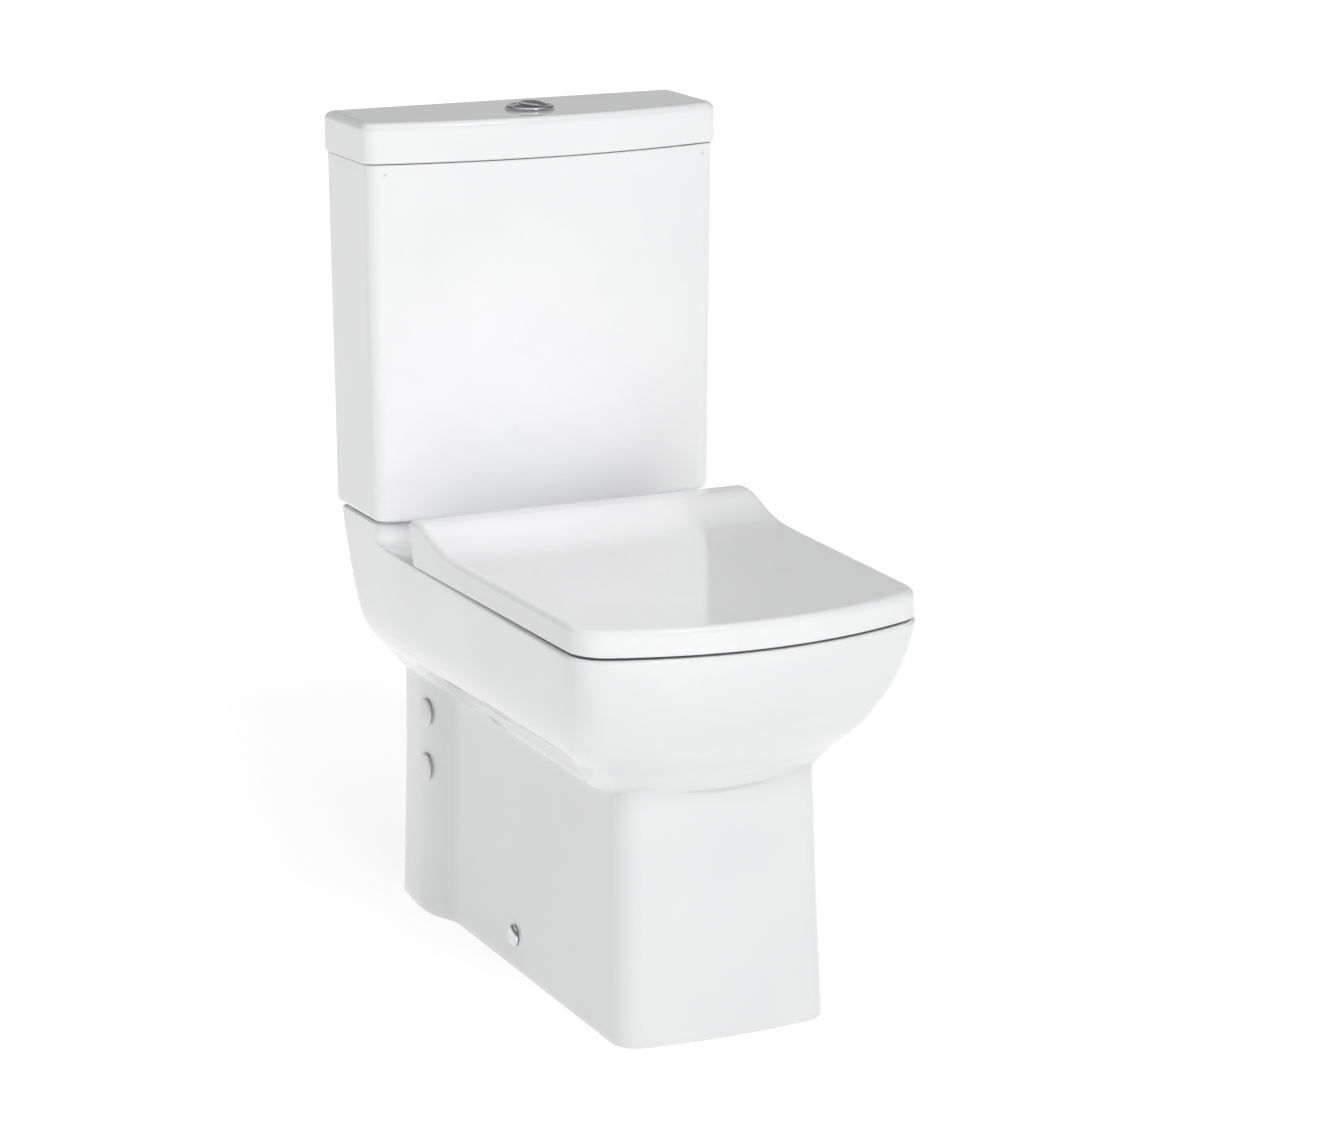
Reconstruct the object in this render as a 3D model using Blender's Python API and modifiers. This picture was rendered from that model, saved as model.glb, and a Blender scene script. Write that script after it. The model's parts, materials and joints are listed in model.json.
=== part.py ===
"""Close coupled toilet: shrouded pan, cistern with lift-off lid and dual flush
button, soft wrap-over seat lid and seat ring on two hinge posts.

Units: the constants are millimetres and are turned into metres when a mesh is
made.  x runs across, z runs up from the floor.  y in the constants is measured
from the wall plane (the front is negative); DEPTH_CENTRE moves it so that the
origin is the centre of the footprint's bounding box on the floor.
"""
import bpy
import bmesh
from math import pi, sin, cos, sqrt, atan2
from mathutils import Vector, Matrix

# ---------------------------------------------------------------- dimensions
MM = 0.001
BACK_Y = -3.0            # rear face of pan, cistern and lid
FRONT_Y = -618.0         # front of the seat lid
DEPTH_CENTRE = -(BACK_Y + FRONT_Y) / 2.0

WALL = 12.0              # ceramic wall of the pan
DECK_Z = 398.0           # rim and rear deck of the pan
PLATFORM_Z = 420.0       # step that carries the cistern
CAVITY_TOP_Z = 385.0
PLATFORM_FRONT_Y = -97.0  # front of the step at the sides
PLATFORM_BOW = 28.0

# pan sections: z, half width, front corner y, front bow, corner radius, rib share
PAN_SECTIONS = [
    (0.0, 109.4, -524.2, 9.2, 26.0, 1.00),
    (130.0, 105.8, -517.5, 9.2, 27.0, 0.93),
    (232.0, 104.6, -512.5, 10.0, 30.0, 0.88),
    (241.0, 107.5, -507.0, 17.0, 33.0, 0.75),
    (248.0, 114.0, -500.0, 27.0, 36.0, 0.45),
    (254.5, 122.0, -496.0, 34.0, 38.0, 0.10),
    (265.0, 132.2, -503.7, 38.0, 40.0, 0.0),
    (279.0, 145.4, -515.7, 38.0, 40.0, 0.0),
    (303.6, 158.6, -532.9, 38.0, 40.0, 0.0),
    (340.0, 167.6, -559.0, 38.0, 40.0, 0.0),
    (371.0, 172.6, -572.6, 38.0, 40.0, 0.0),
    (396.0, 176.2, -579.4, 38.0, 40.0, 0.0),
    (419.0, 178.5, -579.4, 38.0, 40.0, 0.0),
    (420.0, 177.7, -579.4, 38.0, 40.0, 0.0),
]
# bulge of the rear side rib: y, extra half width
RIB = [(-3.0, 8.6), (-37.0, 13.1), (-64.0, 15.2), (-88.0, 13.5), (-103.5, 9.0),
       (-113.0, 4.0), (-122.0, 0.6), (-137.0, 0.0)]

# bowl well: z, half width, rear y, front y, squareness
BOWL_SECTIONS = [
    (402.0, 126.0, -250.0, -564.0, 4.2),
    (372.0, 126.0, -250.0, -564.0, 4.2),
    (350.0, 123.0, -253.0, -558.0, 3.8),
    (310.0, 110.0, -262.0, -534.0, 3.0),
    (270.0, 90.0, -272.0, -496.0, 2.6),
    (230.0, 66.0, -280.0, -446.0, 2.3),
    (200.0, 50.0, -286.0, -402.0, 2.1),
    (176.0, 36.0, -292.0, -372.0, 2.0),
]
BOWL_SHELL = 11.0
# trapway centre line: y, z, inner radius, outer radius
TRAP = [(-344.0, 212.0, 35.0, 46.0), (-322.0, 193.0, 36.0, 47.0), (-294.0, 181.0, 36.5, 47.5),
        (-264.0, 184.0, 37.0, 48.0), (-240.0, 202.0, 37.0, 48.0), (-219.0, 228.0, 37.5, 48.5),
        (-196.0, 247.0, 38.0, 49.0), (-168.0, 249.0, 39.0, 50.0), (-144.0, 234.0, 40.5, 51.0),
        (-125.0, 212.0, 42.0, 51.0), (-104.0, 195.0, 43.0, 51.0), (-84.0, 190.0, 43.0, 51.0),
        (-62.0, 190.0, 43.0, 51.0)]

FLUSH_Y = -77.5          # flush valve, button and pan inlet share this line
INLET_R = 28.0
INLET_RECESS_R = 40.0
COUPLING_X = 72.0        # close coupling bolts
FILL_X, FILL_Y = 130.0, -60.0

HINGE_X, HINGE_Y, HINGE_Z = 77.5, -207.0, 427.0
BARREL_R, PIN_R, PIN_HOLE_R = 8.0, 4.0, 4.35

CISTERN_BOTTOM_Z, CISTERN_TOP_Z = 422.9, 779.4
CISTERN_HALF_BOTTOM, CISTERN_HALF_TOP = 182.9, 186.6
CISTERN_FRONT_Y, CISTERN_BOW, CISTERN_R = -112.7, 26.4, 16.5
CISTERN_WALL, CISTERN_FLOOR_Z = 10.0, 433.0
LID_BOTTOM_Z, LID_TOP_Z, LID_HALF = 780.2, 820.0, 189.4
LID_FRONT_Y = -113.8
LID_CEILING_Z = 807.0

SEAT_BOTTOM_Z, SEAT_TOP_Z = 400.6, 426.3
SEAT_HALF_REAR, SEAT_HALF_FRONT = 181.3, 174.6
SEAT_FRONT_Y, SEAT_BOW, SEAT_R = -577.5, 40.5, 41.0
SEAT_WALL = 4.5
# raised rear lip of the seat lid: y, height of the top
LIP = [(-187.0, 443.0), (-196.0, 445.2), (-211.0, 445.2), (-228.0, 442.3), (-244.0, 435.8),
       (-263.5, 431.0), (-284.0, 427.6), (-307.0, 426.4), (-330.0, SEAT_TOP_Z)]
RING_BOTTOM_Z, RING_TOP_Z = 402.6, 417.0
RING_REAR_Y = -234.5
RING_OPENING = (106.0, -272.0, -528.0, 3.0)   # half width, rear y, front y, squareness

SIDE_CAPS = ((-76.0, 212.5), (-76.0, 155.0))
SIDE_CAP_R = 14.0
FLOOR_SCREW_Y, FLOOR_SCREW_Z = -273.0, 34.4

SEG = 16                 # sides of a round piece

# ---------------------------------------------------------------- scene setup
for ob in list(bpy.data.objects):
    bpy.data.objects.remove(ob, do_unlink=True)

PARTS = bpy.data.collections.new("close_coupled_toilet")
CUTTERS = bpy.data.collections.new("cutters")
bpy.context.scene.collection.children.link(PARTS)
bpy.context.scene.collection.children.link(CUTTERS)


def material(name, colour, rough, metal=0.0):
    mat = bpy.data.materials.new(name)
    mat.use_nodes = True
    bsdf = mat.node_tree.nodes["Principled BSDF"]
    bsdf.inputs["Base Color"].default_value = (*colour, 1.0)
    bsdf.inputs["Roughness"].default_value = rough
    bsdf.inputs["Metallic"].default_value = metal
    mat.diffuse_color = (*colour, 1.0)
    return mat


CERAMIC = (0.90, 0.90, 0.89)
SEAT_WHITE = (0.91, 0.91, 0.91)
CHROME = (0.80, 0.80, 0.82)
STEEL = (0.62, 0.62, 0.63)
RUBBER = (0.05, 0.05, 0.05)
GREY = (0.55, 0.57, 0.60)
WHITE_PLASTIC = (0.88, 0.88, 0.88)
RED = (0.55, 0.08, 0.06)
BLUE = (0.10, 0.25, 0.55)


def P(x, y, z):
    return Vector((x * MM, (y + DEPTH_CENTRE) * MM, z * MM))


def lerp_table(table, v, col=1):
    """Piecewise linear value of one column of a table sorted by its first column."""
    rows = sorted(table, key=lambda r: r[0])
    if v <= rows[0][0]:
        return rows[0][col]
    for a, b in zip(rows, rows[1:]):
        if v <= b[0]:
            t = (v - a[0]) / (b[0] - a[0])
            return a[col] + (b[col] - a[col]) * t
    return rows[-1][col]


# ---------------------------------------------------------------- outlines
def front_corner(half, y_corner, bow, radius, steps):
    """Arc that joins a side at x = half to the bowed front, from side to front."""
    def front(x):
        return y_corner - bow * (1.0 - (x / half) ** 2)

    def gap(y0):
        best = 1e9
        for i in range(120):
            x = half * i / 119.0
            best = min(best, sqrt((x - (half - radius)) ** 2 + (front(x) - y0) ** 2))
        return best - radius
    lo, hi = y_corner - bow, y_corner + 3.0 * radius
    for _ in range(40):
        mid = (lo + hi) / 2.0
        if gap(mid) > 0:
            hi = mid
        else:
            lo = mid
    y0 = (lo + hi) / 2.0
    xs = [half * i / 400.0 for i in range(401)]
    xt = min(xs, key=lambda x: (x - (half - radius)) ** 2 + (front(x) - y0) ** 2)
    end = atan2(front(xt) - y0, xt - (half - radius))
    return [(half - radius + radius * cos(end * i / steps), y0 + radius * sin(end * i / steps))
            for i in range(steps + 1)], front


def d_outline(half, rear, y_corner, bow, radius, side_ys=(), extra=None,
              rear_half=None, arc=4, flat=3, inset=0.0):
    """Symmetric D: straight rear, sides and a bowed front with round corners.

    Points run from the rear centre down the -x side to the front centre and
    back up the +x side.  side_ys are fixed stations along the side; the last
    ones are shared out before the corner.
    """
    half = half - inset
    rear_half = half if rear_half is None else rear_half - inset
    rear = rear - inset
    y_corner = y_corner + inset
    radius = max(radius - inset, 3.0)
    corner, front = front_corner(half, y_corner, bow, radius, arc)
    y_start = corner[0][1]
    right = [(rear_half, rear)]
    for y in side_ys:
        right.append((None, min(y, rear - 1.0 * (1 + len(right)) * 0.5)))
    last = right[-1][1]
    for k in range(1, 3):
        right.append((None, last + (y_start - last) * k / 3.0))
    pts = []
    for x, y in right:
        if x is None:
            t = (y - y_start) / (rear - y_start)
            x = half + (rear_half - half) * t
        if extra is not None:
            x += extra(y)
        pts.append((x, y))
    pts += corner
    xe = corner[-1][0]
    for k in range(1, flat):
        x = xe * (1.0 - k / flat)
        pts.append((x, front(x)))
    ring = [(0.0, rear)] + [(-x, y) for x, y in pts] + [(0.0, front(0.0))]
    ring += [(x, y) for x, y in reversed(pts)]
    return ring


def squircle(half, rear, front, power, like=None, count=24):
    """Superellipse ring; with like= its points lie on the same rays as that ring."""
    yc, hy = (rear + front) / 2.0, (rear - front) / 2.0
    out = []
    if like is None:
        angles = [pi / 2 + 2 * pi * i / count for i in range(count)]
    else:
        angles = [atan2(y - yc, x) for x, y in like]
    for a in angles:
        r = (abs(cos(a) / half) ** power + abs(sin(a) / hy) ** power) ** (-1.0 / power)
        out.append((r * cos(a), yc + r * sin(a)))
    return out


# ---------------------------------------------------------------- builders
def finish(ob, mat, cutter=False):
    for col in list(ob.users_collection):
        col.objects.unlink(ob)
    (CUTTERS if cutter else PARTS).objects.link(ob)
    if cutter:
        ob.hide_render = True
        ob.display_type = 'WIRE'
    if mat is not None:
        ob.data.materials.clear()
        ob.data.materials.append(mat)
    return ob


def loft(name, rings, mat=None, origin=(0.0, 0.0, 0.0), cutter=False, ladder=False,
         closed=False, smooth=True):
    """Skin equal-count rings of (x, y, z); flat caps, or ladder caps on symmetric rings."""
    o = P(*origin)
    bm = bmesh.new()
    rows = [[bm.verts.new(P(*p) - o) for p in ring] for ring in rings]
    n = len(rows[0])
    pairs = list(zip(rows, rows[1:]))
    if closed:
        pairs.append((rows[-1], rows[0]))
    for a, b in pairs:
        for i in range(n):
            j = (i + 1) % n
            bm.faces.new((a[i], a[j], b[j], b[i]))
    if not closed:
        for row, flip in ((rows[0], True), (rows[-1], False)):
            if ladder:
                h = n // 2
                first = [row[0], row[1], row[2], row[n - 2], row[n - 1]]
                bm.faces.new(first[::-1] if flip else first)
                for i in range(2, h):
                    face = [row[i], row[i + 1], row[n - i - 1], row[n - i]]
                    if i == h - 1:
                        face = [row[i], row[h], row[n - i]]
                    bm.faces.new(face[::-1] if flip else face)
            else:
                bm.faces.new(row[::-1] if flip else row)
    bmesh.ops.recalc_face_normals(bm, faces=bm.faces)
    me = bpy.data.meshes.new(name)
    bm.to_mesh(me)
    bm.free()
    ob = bpy.data.objects.new(name, me)
    ob.location = o
    bpy.context.scene.collection.objects.link(ob)
    if smooth:
        me.shade_smooth()
        me.set_sharp_from_angle(angle=0.6)
    return finish(ob, mat, cutter)


AXES = {'X': Matrix.Rotation(pi / 2, 4, 'Y'), 'Y': Matrix.Rotation(pi / 2, 4, 'X'),
        'Z': Matrix.Identity(4)}


def cyl(name, r, a, b, axis='Z', at=(0.0, 0.0), mat=None, cutter=False, seg=SEG, r2=None,
        bevel=0.0):
    """Cylinder or cone from a to b along an axis; at gives the other two coordinates."""
    mid = (a + b) / 2.0
    place = {'X': (mid, at[0], at[1]), 'Y': (at[0], mid, at[1]), 'Z': (at[0], at[1], mid)}[axis]
    bm = bmesh.new()
    bmesh.ops.create_cone(bm, cap_ends=True, segments=seg, radius1=r * MM,
                          radius2=(r if r2 is None else r2) * MM, depth=abs(b - a) * MM)
    me = bpy.data.meshes.new(name)
    bmesh.ops.transform(bm, matrix=AXES[axis], verts=bm.verts)
    bm.to_mesh(me)
    bm.free()
    ob = bpy.data.objects.new(name, me)
    ob.location = P(*place)
    bpy.context.scene.collection.objects.link(ob)
    me.shade_smooth()
    me.set_sharp_from_angle(angle=0.6)
    finish(ob, mat, cutter)
    if bevel:
        mod = ob.modifiers.new("edge", 'BEVEL')
        mod.width = bevel * MM
        mod.segments = 1
        mod.limit_method = 'ANGLE'
        mod.angle_limit = 0.9
    return ob


def box(name, lo, hi, mat=None, cutter=False, bevel=0.0):
    bm = bmesh.new()
    bmesh.ops.create_cube(bm, size=1.0)
    size = [hi[i] - lo[i] for i in range(3)]
    bmesh.ops.scale(bm, vec=[s * MM for s in size], verts=bm.verts)
    me = bpy.data.meshes.new(name)
    bm.to_mesh(me)
    bm.free()
    ob = bpy.data.objects.new(name, me)
    ob.location = P(*[(hi[i] + lo[i]) / 2.0 for i in range(3)])
    bpy.context.scene.collection.objects.link(ob)
    finish(ob, mat, cutter)
    if bevel:
        mod = ob.modifiers.new("edge", 'BEVEL')
        mod.width = bevel * MM
        mod.segments = 1
    return ob


def boolean(ob, other, op='DIFFERENCE'):
    mod = ob.modifiers.new(op.lower() + "_" + other.name, 'BOOLEAN')
    mod.operation = op
    mod.object = other
    mod.solver = 'EXACT'
    return ob


def cut(ob, *others):
    for o in others:
        boolean(ob, o, 'DIFFERENCE')
    return ob


def add(ob, *others):
    for o in others:
        boolean(ob, o, 'UNION')
    return ob


def empty(name, x, y, z):
    e = bpy.data.objects.new(name, None)
    e.location = P(x, y, z)
    e.empty_display_size = 0.03
    PARTS.objects.link(e)
    return e


def parent(e, *obs):
    bpy.context.view_layer.update()
    for ob in obs:
        ob.parent = e
        ob.matrix_parent_inverse = e.matrix_world.inverted()


# ---------------------------------------------------------------- pan
ceramic = material("pan_glaze", CERAMIC, 0.08)
rib_ys = [y for y, _ in RIB[1:]]


def rib_extra(share):
    return lambda y: share * lerp_table(RIB, y)


def pan_ring(z, inset=0.0, rear_inset=0.0):
    half, yc, bow, rad, share = [lerp_table(PAN_SECTIONS, z, c) for c in (1, 2, 3, 4, 5)]
    ring = d_outline(half - inset, BACK_Y - rear_inset, yc + inset, bow,
                     max(rad - inset * 0.8, 4.0), side_ys=rib_ys, extra=rib_extra(share))
    return [(x, y, z) for x, y in ring]


pan = loft("pan", [pan_ring(row[0]) for row in PAN_SECTIONS], ceramic)

# everything above the deck in front of the cistern step is cut away
step_front = []
for i in range(13):
    x = -200.0 + 400.0 * i / 12
    step_front.append((x, PLATFORM_FRONT_Y - PLATFORM_BOW * (1 - (x / 178.5) ** 2)))
deck_plan = [(-200.0, -660.0)] + step_front + [(200.0, -660.0)]
deck_cut = loft("deck_cut", [[(x, y, DECK_Z) for x, y in deck_plan],
                             [(x, y, DECK_Z + 40.0) for x, y in deck_plan]], cutter=True,
                smooth=False)

cav_z = [-6.0, 232.0, 248.0, 265.0, 303.6, 340.0, CAVITY_TOP_Z]
cavity = loft("pan_cavity", [[(x, y, z) for x, y, _ in pan_ring(max(z, 0.0), WALL, WALL)]
                             for z in cav_z], cutter=True)
bowl_out = loft("bowl_shell", [[(x, y, z - (BOWL_SHELL if k == len(BOWL_SECTIONS) - 1 else 0.0))
                                for x, y in squircle(h + BOWL_SHELL, r + BOWL_SHELL,
                                                     f - BOWL_SHELL, p)]
                               for k, (z, h, r, f, p) in enumerate(BOWL_SECTIONS)], cutter=True)
bowl_in = loft("bowl_well", [[(x, y, z) for x, y in squircle(h, r, f, p)]
                             for z, h, r, f, p in BOWL_SECTIONS], cutter=True)


def tube_rings(path, col, stretch_end=0.0, seg=12):
    rings = []
    for k, row in enumerate(path):
        y, z = row[0], row[1]
        a, b = path[max(k - 1, 0)], path[min(k + 1, len(path) - 1)]
        d = Vector((0, b[0] - a[0], b[1] - a[1])).normalized()
        side, up = Vector((1, 0, 0)), Vector((1, 0, 0)).cross(d)
        yy = y + (stretch_end if k == len(path) - 1 else 0.0)
        rings.append([tuple(Vector((0, yy, z)) + side * row[col] * cos(2 * pi * i / seg)
                            + up * row[col] * sin(2 * pi * i / seg)) for i in range(seg)])
    return rings


trap_out = loft("trap_shell", tube_rings(TRAP, 3), cutter=True)
trap_in = loft("trap_way", tube_rings(TRAP, 2, 8.0), cutter=True)
duct_out = box("duct_shell", (-44.0, -262.0, 334.0), (44.0, -30.0, 392.0), cutter=True)
duct_in = box("duct_way", (-30.0, -258.0, 347.0), (30.0, FLUSH_Y, 373.0), cutter=True)
duct_drop = cyl("duct_drop", INLET_R, 347.5, PLATFORM_Z + 6, at=(0.0, FLUSH_Y), cutter=True)
cut(cavity, bowl_out, trap_out, duct_out)
inlet_recess = cyl("inlet_recess", INLET_RECESS_R, 398.5, PLATFORM_Z + 7, at=(0.0, FLUSH_Y),
                   cutter=True, seg=24)
rear_open = box("rear_opening", (-99.0, -22.0, -6.0), (99.0, 6.0, 292.0), cutter=True)
cut(pan, deck_cut, cavity, rear_open, bowl_in, trap_in, duct_in, duct_drop, inlet_recess)
cut(pan, cyl("fill_gap", 21.0, 370.0, 430.0, at=(FILL_X, FILL_Y), cutter=True))
for s in (-1, 1):
    tag = "left" if s < 0 else "right"
    cut(pan,
        cyl("coupling_hole_" + tag, 6.0, 370.0, 430.0, at=(s * COUPLING_X, FLUSH_Y), cutter=True,
            seg=12),
        cyl("seat_hole_" + tag, 7.0, 370.0, 410.0, at=(s * HINGE_X, HINGE_Y), cutter=True, seg=12),
        cyl("screw_hole_" + tag, 3.7, s * 80.0, s * 120.0, 'X', (FLOOR_SCREW_Y, FLOOR_SCREW_Z),
            cutter=True, seg=12))
    for k, (y, z) in enumerate(SIDE_CAPS):
        cut(pan, cyl("cap_hole_%s_%d" % (tag, k), 10.0, s * 92.0, s * 140.0, 'X', (y, z),
                     cutter=True, seg=16))

# ---------------------------------------------------------------- cistern
cist_mat = material("cistern_glaze", CERAMIC, 0.08)


def cistern_half(z):
    t = (z - CISTERN_BOTTOM_Z) / (CISTERN_TOP_Z - CISTERN_BOTTOM_Z)
    return CISTERN_HALF_BOTTOM + (CISTERN_HALF_TOP - CISTERN_HALF_BOTTOM) * t


def cistern_ring(z, inset=0.0, rear_inset=None):
    rear_inset = inset if rear_inset is None else rear_inset
    ring = d_outline(cistern_half(z) - inset, BACK_Y - rear_inset, CISTERN_FRONT_Y + inset,
                     CISTERN_BOW, max(CISTERN_R - inset * 0.7, 4.0), side_ys=(-40.0,))
    return [(x, y, z) for x, y in ring]


cistern = loft("cistern", [cistern_ring(CISTERN_BOTTOM_Z, 6.5, 4.0),
                           cistern_ring(CISTERN_BOTTOM_Z + 2.4, 2.3, 1.5),
                           cistern_ring(CISTERN_BOTTOM_Z + 8.0, 0.0, 0.0),
                           cistern_ring(600.0, 0.0, 0.0),
                           cistern_ring(CISTERN_TOP_Z - 1.5, 0.0, 0.0),
                           cistern_ring(CISTERN_TOP_Z, 1.0, 0.6)], cist_mat)
tank = loft("tank_space", [cistern_ring(CISTERN_FLOOR_Z, CISTERN_WALL + 4.0),
                           cistern_ring(CISTERN_FLOOR_Z + 6.0, CISTERN_WALL),
                           cistern_ring(CISTERN_TOP_Z + 5.0, CISTERN_WALL)], cutter=True)
cut(cistern, tank,
    cyl("valve_hole", 26.5, 410.0, 450.0, at=(0.0, FLUSH_Y), cutter=True, seg=24),
    cyl("fill_hole", 10.2, 410.0, 450.0, at=(FILL_X, FILL_Y), cutter=True, seg=16))
for s in (-1, 1):
    cut(cistern, cyl("tank_bolt_hole_%d" % s, 5.0, 410.0, 450.0, at=(s * COUPLING_X, FLUSH_Y),
                     cutter=True, seg=12))

lid_mat = material("cistern_lid_glaze", CERAMIC, 0.07)


def lid_ring(z, inset=0.0, rear_inset=None):
    rear_inset = inset if rear_inset is None else rear_inset
    ring = d_outline(LID_HALF - inset, BACK_Y - rear_inset, LID_FRONT_Y + inset, 26.4,
                     max(17.0 - inset * 0.7, 4.0), side_ys=(-40.0,))
    return [(x, y, z) for x, y in ring]


cistern_lid = loft("cistern_lid", [lid_ring(LID_BOTTOM_Z, 1.4, 0.8), lid_ring(LID_BOTTOM_Z + 2.0),
                                   lid_ring(812.0), lid_ring(816.6, 1.6), lid_ring(819.1, 4.6),
                                   lid_ring(LID_TOP_Z, 8.2)], lid_mat,
                   origin=(0.0, FLUSH_Y, LID_BOTTOM_Z))
lid_recess = loft("lid_recess", [lid_ring(LID_BOTTOM_Z - 2.0, 10.0), lid_ring(LID_CEILING_Z, 11.0)],
                  cutter=True)
lip = loft("lid_lip", [lid_ring(770.0, 17.0, 13.0), lid_ring(812.0, 17.0, 13.0)], cutter=True)
cut(lip, loft("lid_lip_inside", [lid_ring(766.0, 23.5, 19.0), lid_ring(811.0, 23.5, 19.0)],
              cutter=True))
cut(cistern_lid, lid_recess)
add(cistern_lid, lip)
cut(cistern_lid, cyl("button_hole", 21.6, 795.0, 830.0, at=(0.0, FLUSH_Y), cutter=True, seg=24))

# ---------------------------------------------------------------- seat lid and ring
seat_mat = material("seat_lid_gloss", SEAT_WHITE, 0.12)
ring_mat = material("seat_ring_gloss", SEAT_WHITE, 0.12)
seat_side = (-196.0, -211.0, -228.0, -244.0, -263.5, -284.0, -307.0)


def lip_height(y):
    return lerp_table([(-700.0, SEAT_TOP_Z)] + LIP, y)


def seat_plan(inset, rear):
    return d_outline(SEAT_HALF_FRONT - inset, rear - inset, SEAT_FRONT_Y + inset, SEAT_BOW,
                     max(SEAT_R - inset * 0.8, 5.0), side_ys=seat_side,
                     rear_half=SEAT_HALF_REAR - inset, arc=5)


def seat_ring_at(inset, rear, z=None, drop=None):
    plan = seat_plan(inset, rear)
    if z is not None:
        return [(x, y, z) for x, y in plan]
    return [(x, y, lip_height(y) - drop) for x, y in plan]


rings = [seat_ring_at(SEAT_WALL + 3.0, -190.0, drop=SEAT_WALL),
         seat_ring_at(SEAT_WALL, -191.0, drop=SEAT_WALL + 2.5),
         seat_ring_at(SEAT_WALL - 0.2, -200.0, z=SEAT_BOTTOM_Z + 1.0),
         seat_ring_at(SEAT_WALL - 1.4, -200.5, z=SEAT_BOTTOM_Z),
         seat_ring_at(1.2, -200.8, z=SEAT_BOTTOM_Z),
         seat_ring_at(0.0, -200.0, z=SEAT_BOTTOM_Z + 1.6),
         seat_ring_at(0.0, -189.5, drop=6.0),
         seat_ring_at(1.3, -187.5, drop=2.2),
         seat_ring_at(4.0, -186.0, drop=0.5),
         seat_ring_at(8.0, -184.0, drop=0.0)]
seat_lid = loft("seat_lid", rings, seat_mat, origin=(0.0, HINGE_Y, HINGE_Z), ladder=True)
cut(seat_lid, box("lid_notch", (-107.5, -219.5, 390.0), (107.5, -180.0, 438.4), cutter=True))


def ring_plan(inset):
    return d_outline(SEAT_HALF_FRONT - inset, RING_REAR_Y - inset + 7.0, SEAT_FRONT_Y + inset,
                     SEAT_BOW, max(SEAT_R - inset * 0.8, 5.0), side_ys=(-262.0, -307.0),
                     rear_half=SEAT_HALF_REAR - inset - 0.6, arc=5)


outer = ring_plan(7.0)
h, r, f, p = RING_OPENING


def opening(grow, z):
    return [(x, y, z) for x, y in squircle(h + grow, r + grow, f - grow, p, like=outer)]


rows = [[(x, y, RING_BOTTOM_Z) for x, y in ring_plan(8.5)],
        [(x, y, RING_BOTTOM_Z + 2.0) for x, y in outer],
        [(x, y, RING_TOP_Z - 3.0) for x, y in outer],
        [(x, y, RING_TOP_Z) for x, y in ring_plan(10.5)],
        opening(14.0, RING_TOP_Z), opening(4.0, RING_TOP_Z - 2.0), opening(0.0, RING_TOP_Z - 6.0),
        opening(0.0, RING_BOTTOM_Z + 2.5), opening(3.0, RING_BOTTOM_Z)]
seat_ring = loft("seat_ring", rows, ring_mat, origin=(0.0, HINGE_Y, HINGE_Z), closed=True)

# ---------------------------------------------------------------- hinges
for s in (-1, 1):
    tag = "left" if s < 0 else "right"
    ax = (HINGE_Y, HINGE_Z)

    def span(a, b):
        return sorted((s * a, s * b))

    hole = cyl("pin_hole_" + tag, PIN_HOLE_R, *span(40.0, 115.0), 'X', ax, cutter=True, seg=SEG)
    post = cyl("hinge_post_" + tag, 11.5, DECK_Z + 0.3, DECK_Z + 3.3, at=(s * HINGE_X, HINGE_Y),
               mat=material("post_chrome_" + tag, CHROME, 0.15, 1.0))
    add(post, cyl("post_neck_" + tag, 7.0, DECK_Z + 1.5, HINGE_Z - 3.0, at=(s * HINGE_X, HINGE_Y),
                  cutter=True, seg=16),
        cyl("post_barrel_" + tag, BARREL_R, *span(65.8, 89.2), 'X', ax, cutter=True))
    cut(post, hole, cyl("stud_hole_" + tag, 4.35, DECK_Z - 4.0, DECK_Z + 14.0,
                        at=(s * HINGE_X, HINGE_Y), cutter=True, seg=12))
    cyl("hinge_pin_" + tag, PIN_R, *span(50.5, 105.0), 'X', ax,
        mat=material("pin_steel_" + tag, STEEL, 0.3, 1.0))
    # the lid's knuckle is the outer one, the ring's the inner one
    a = span(91.0, 103.5)
    lid_h = box("lid_hinge_" + tag, (a[0], -240.0, 422.6), (a[1], HINGE_Y - 3.0, 431.0),
                material("lid_hinge_grey_" + tag, GREY, 0.45))
    add(lid_h, cyl("lid_knuckle_" + tag, BARREL_R, *span(89.7, 104.5), 'X', ax, cutter=True))
    cut(lid_h, hole)
    a = span(52.0, 64.0)
    ring_h = box("ring_hinge_" + tag, (a[0], -256.0, RING_TOP_Z + 0.4),
                 (a[1], HINGE_Y - 2.0, 423.6), material("ring_hinge_grey_" + tag, GREY, 0.45))
    add(ring_h, cyl("ring_knuckle_" + tag, BARREL_R, *span(51.0, 65.3), 'X', ax, cutter=True))
    cut(ring_h, hole)
    # fixing under the deck
    cyl("seat_stud_" + tag, 4.0, 352.0, DECK_Z + 13.0, at=(s * HINGE_X, HINGE_Y),
        mat=material("stud_steel_" + tag, STEEL, 0.35, 1.0), seg=12)
    w = cyl("seat_washer_" + tag, 12.0, 380.4, CAVITY_TOP_Z - 0.4, at=(s * HINGE_X, HINGE_Y),
            mat=material("seat_washer_rubber_" + tag, RUBBER, 0.8), seg=16)
    cut(w, cyl("washer_hole_" + tag, 4.4, 370.0, 395.0, at=(s * HINGE_X, HINGE_Y), cutter=True,
               seg=12))


def wing_nut(name, x, y, top, colour, rough, metal=0.0):
    nut = cyl(name, 9.0, top - 10.0, top, at=(x, y), mat=material(name + "_mat", colour, rough,
                                                                  metal), seg=12)
    add(nut, box(name + "_wings", (x - 19.0, y - 2.5, top - 13.0), (x + 19.0, y + 2.5, top - 3.0),
                 cutter=True))
    cut(nut, cyl(name + "_hole", 4.4, top - 25.0, top + 10.0, at=(x, y), cutter=True, seg=12))
    return nut


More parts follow.
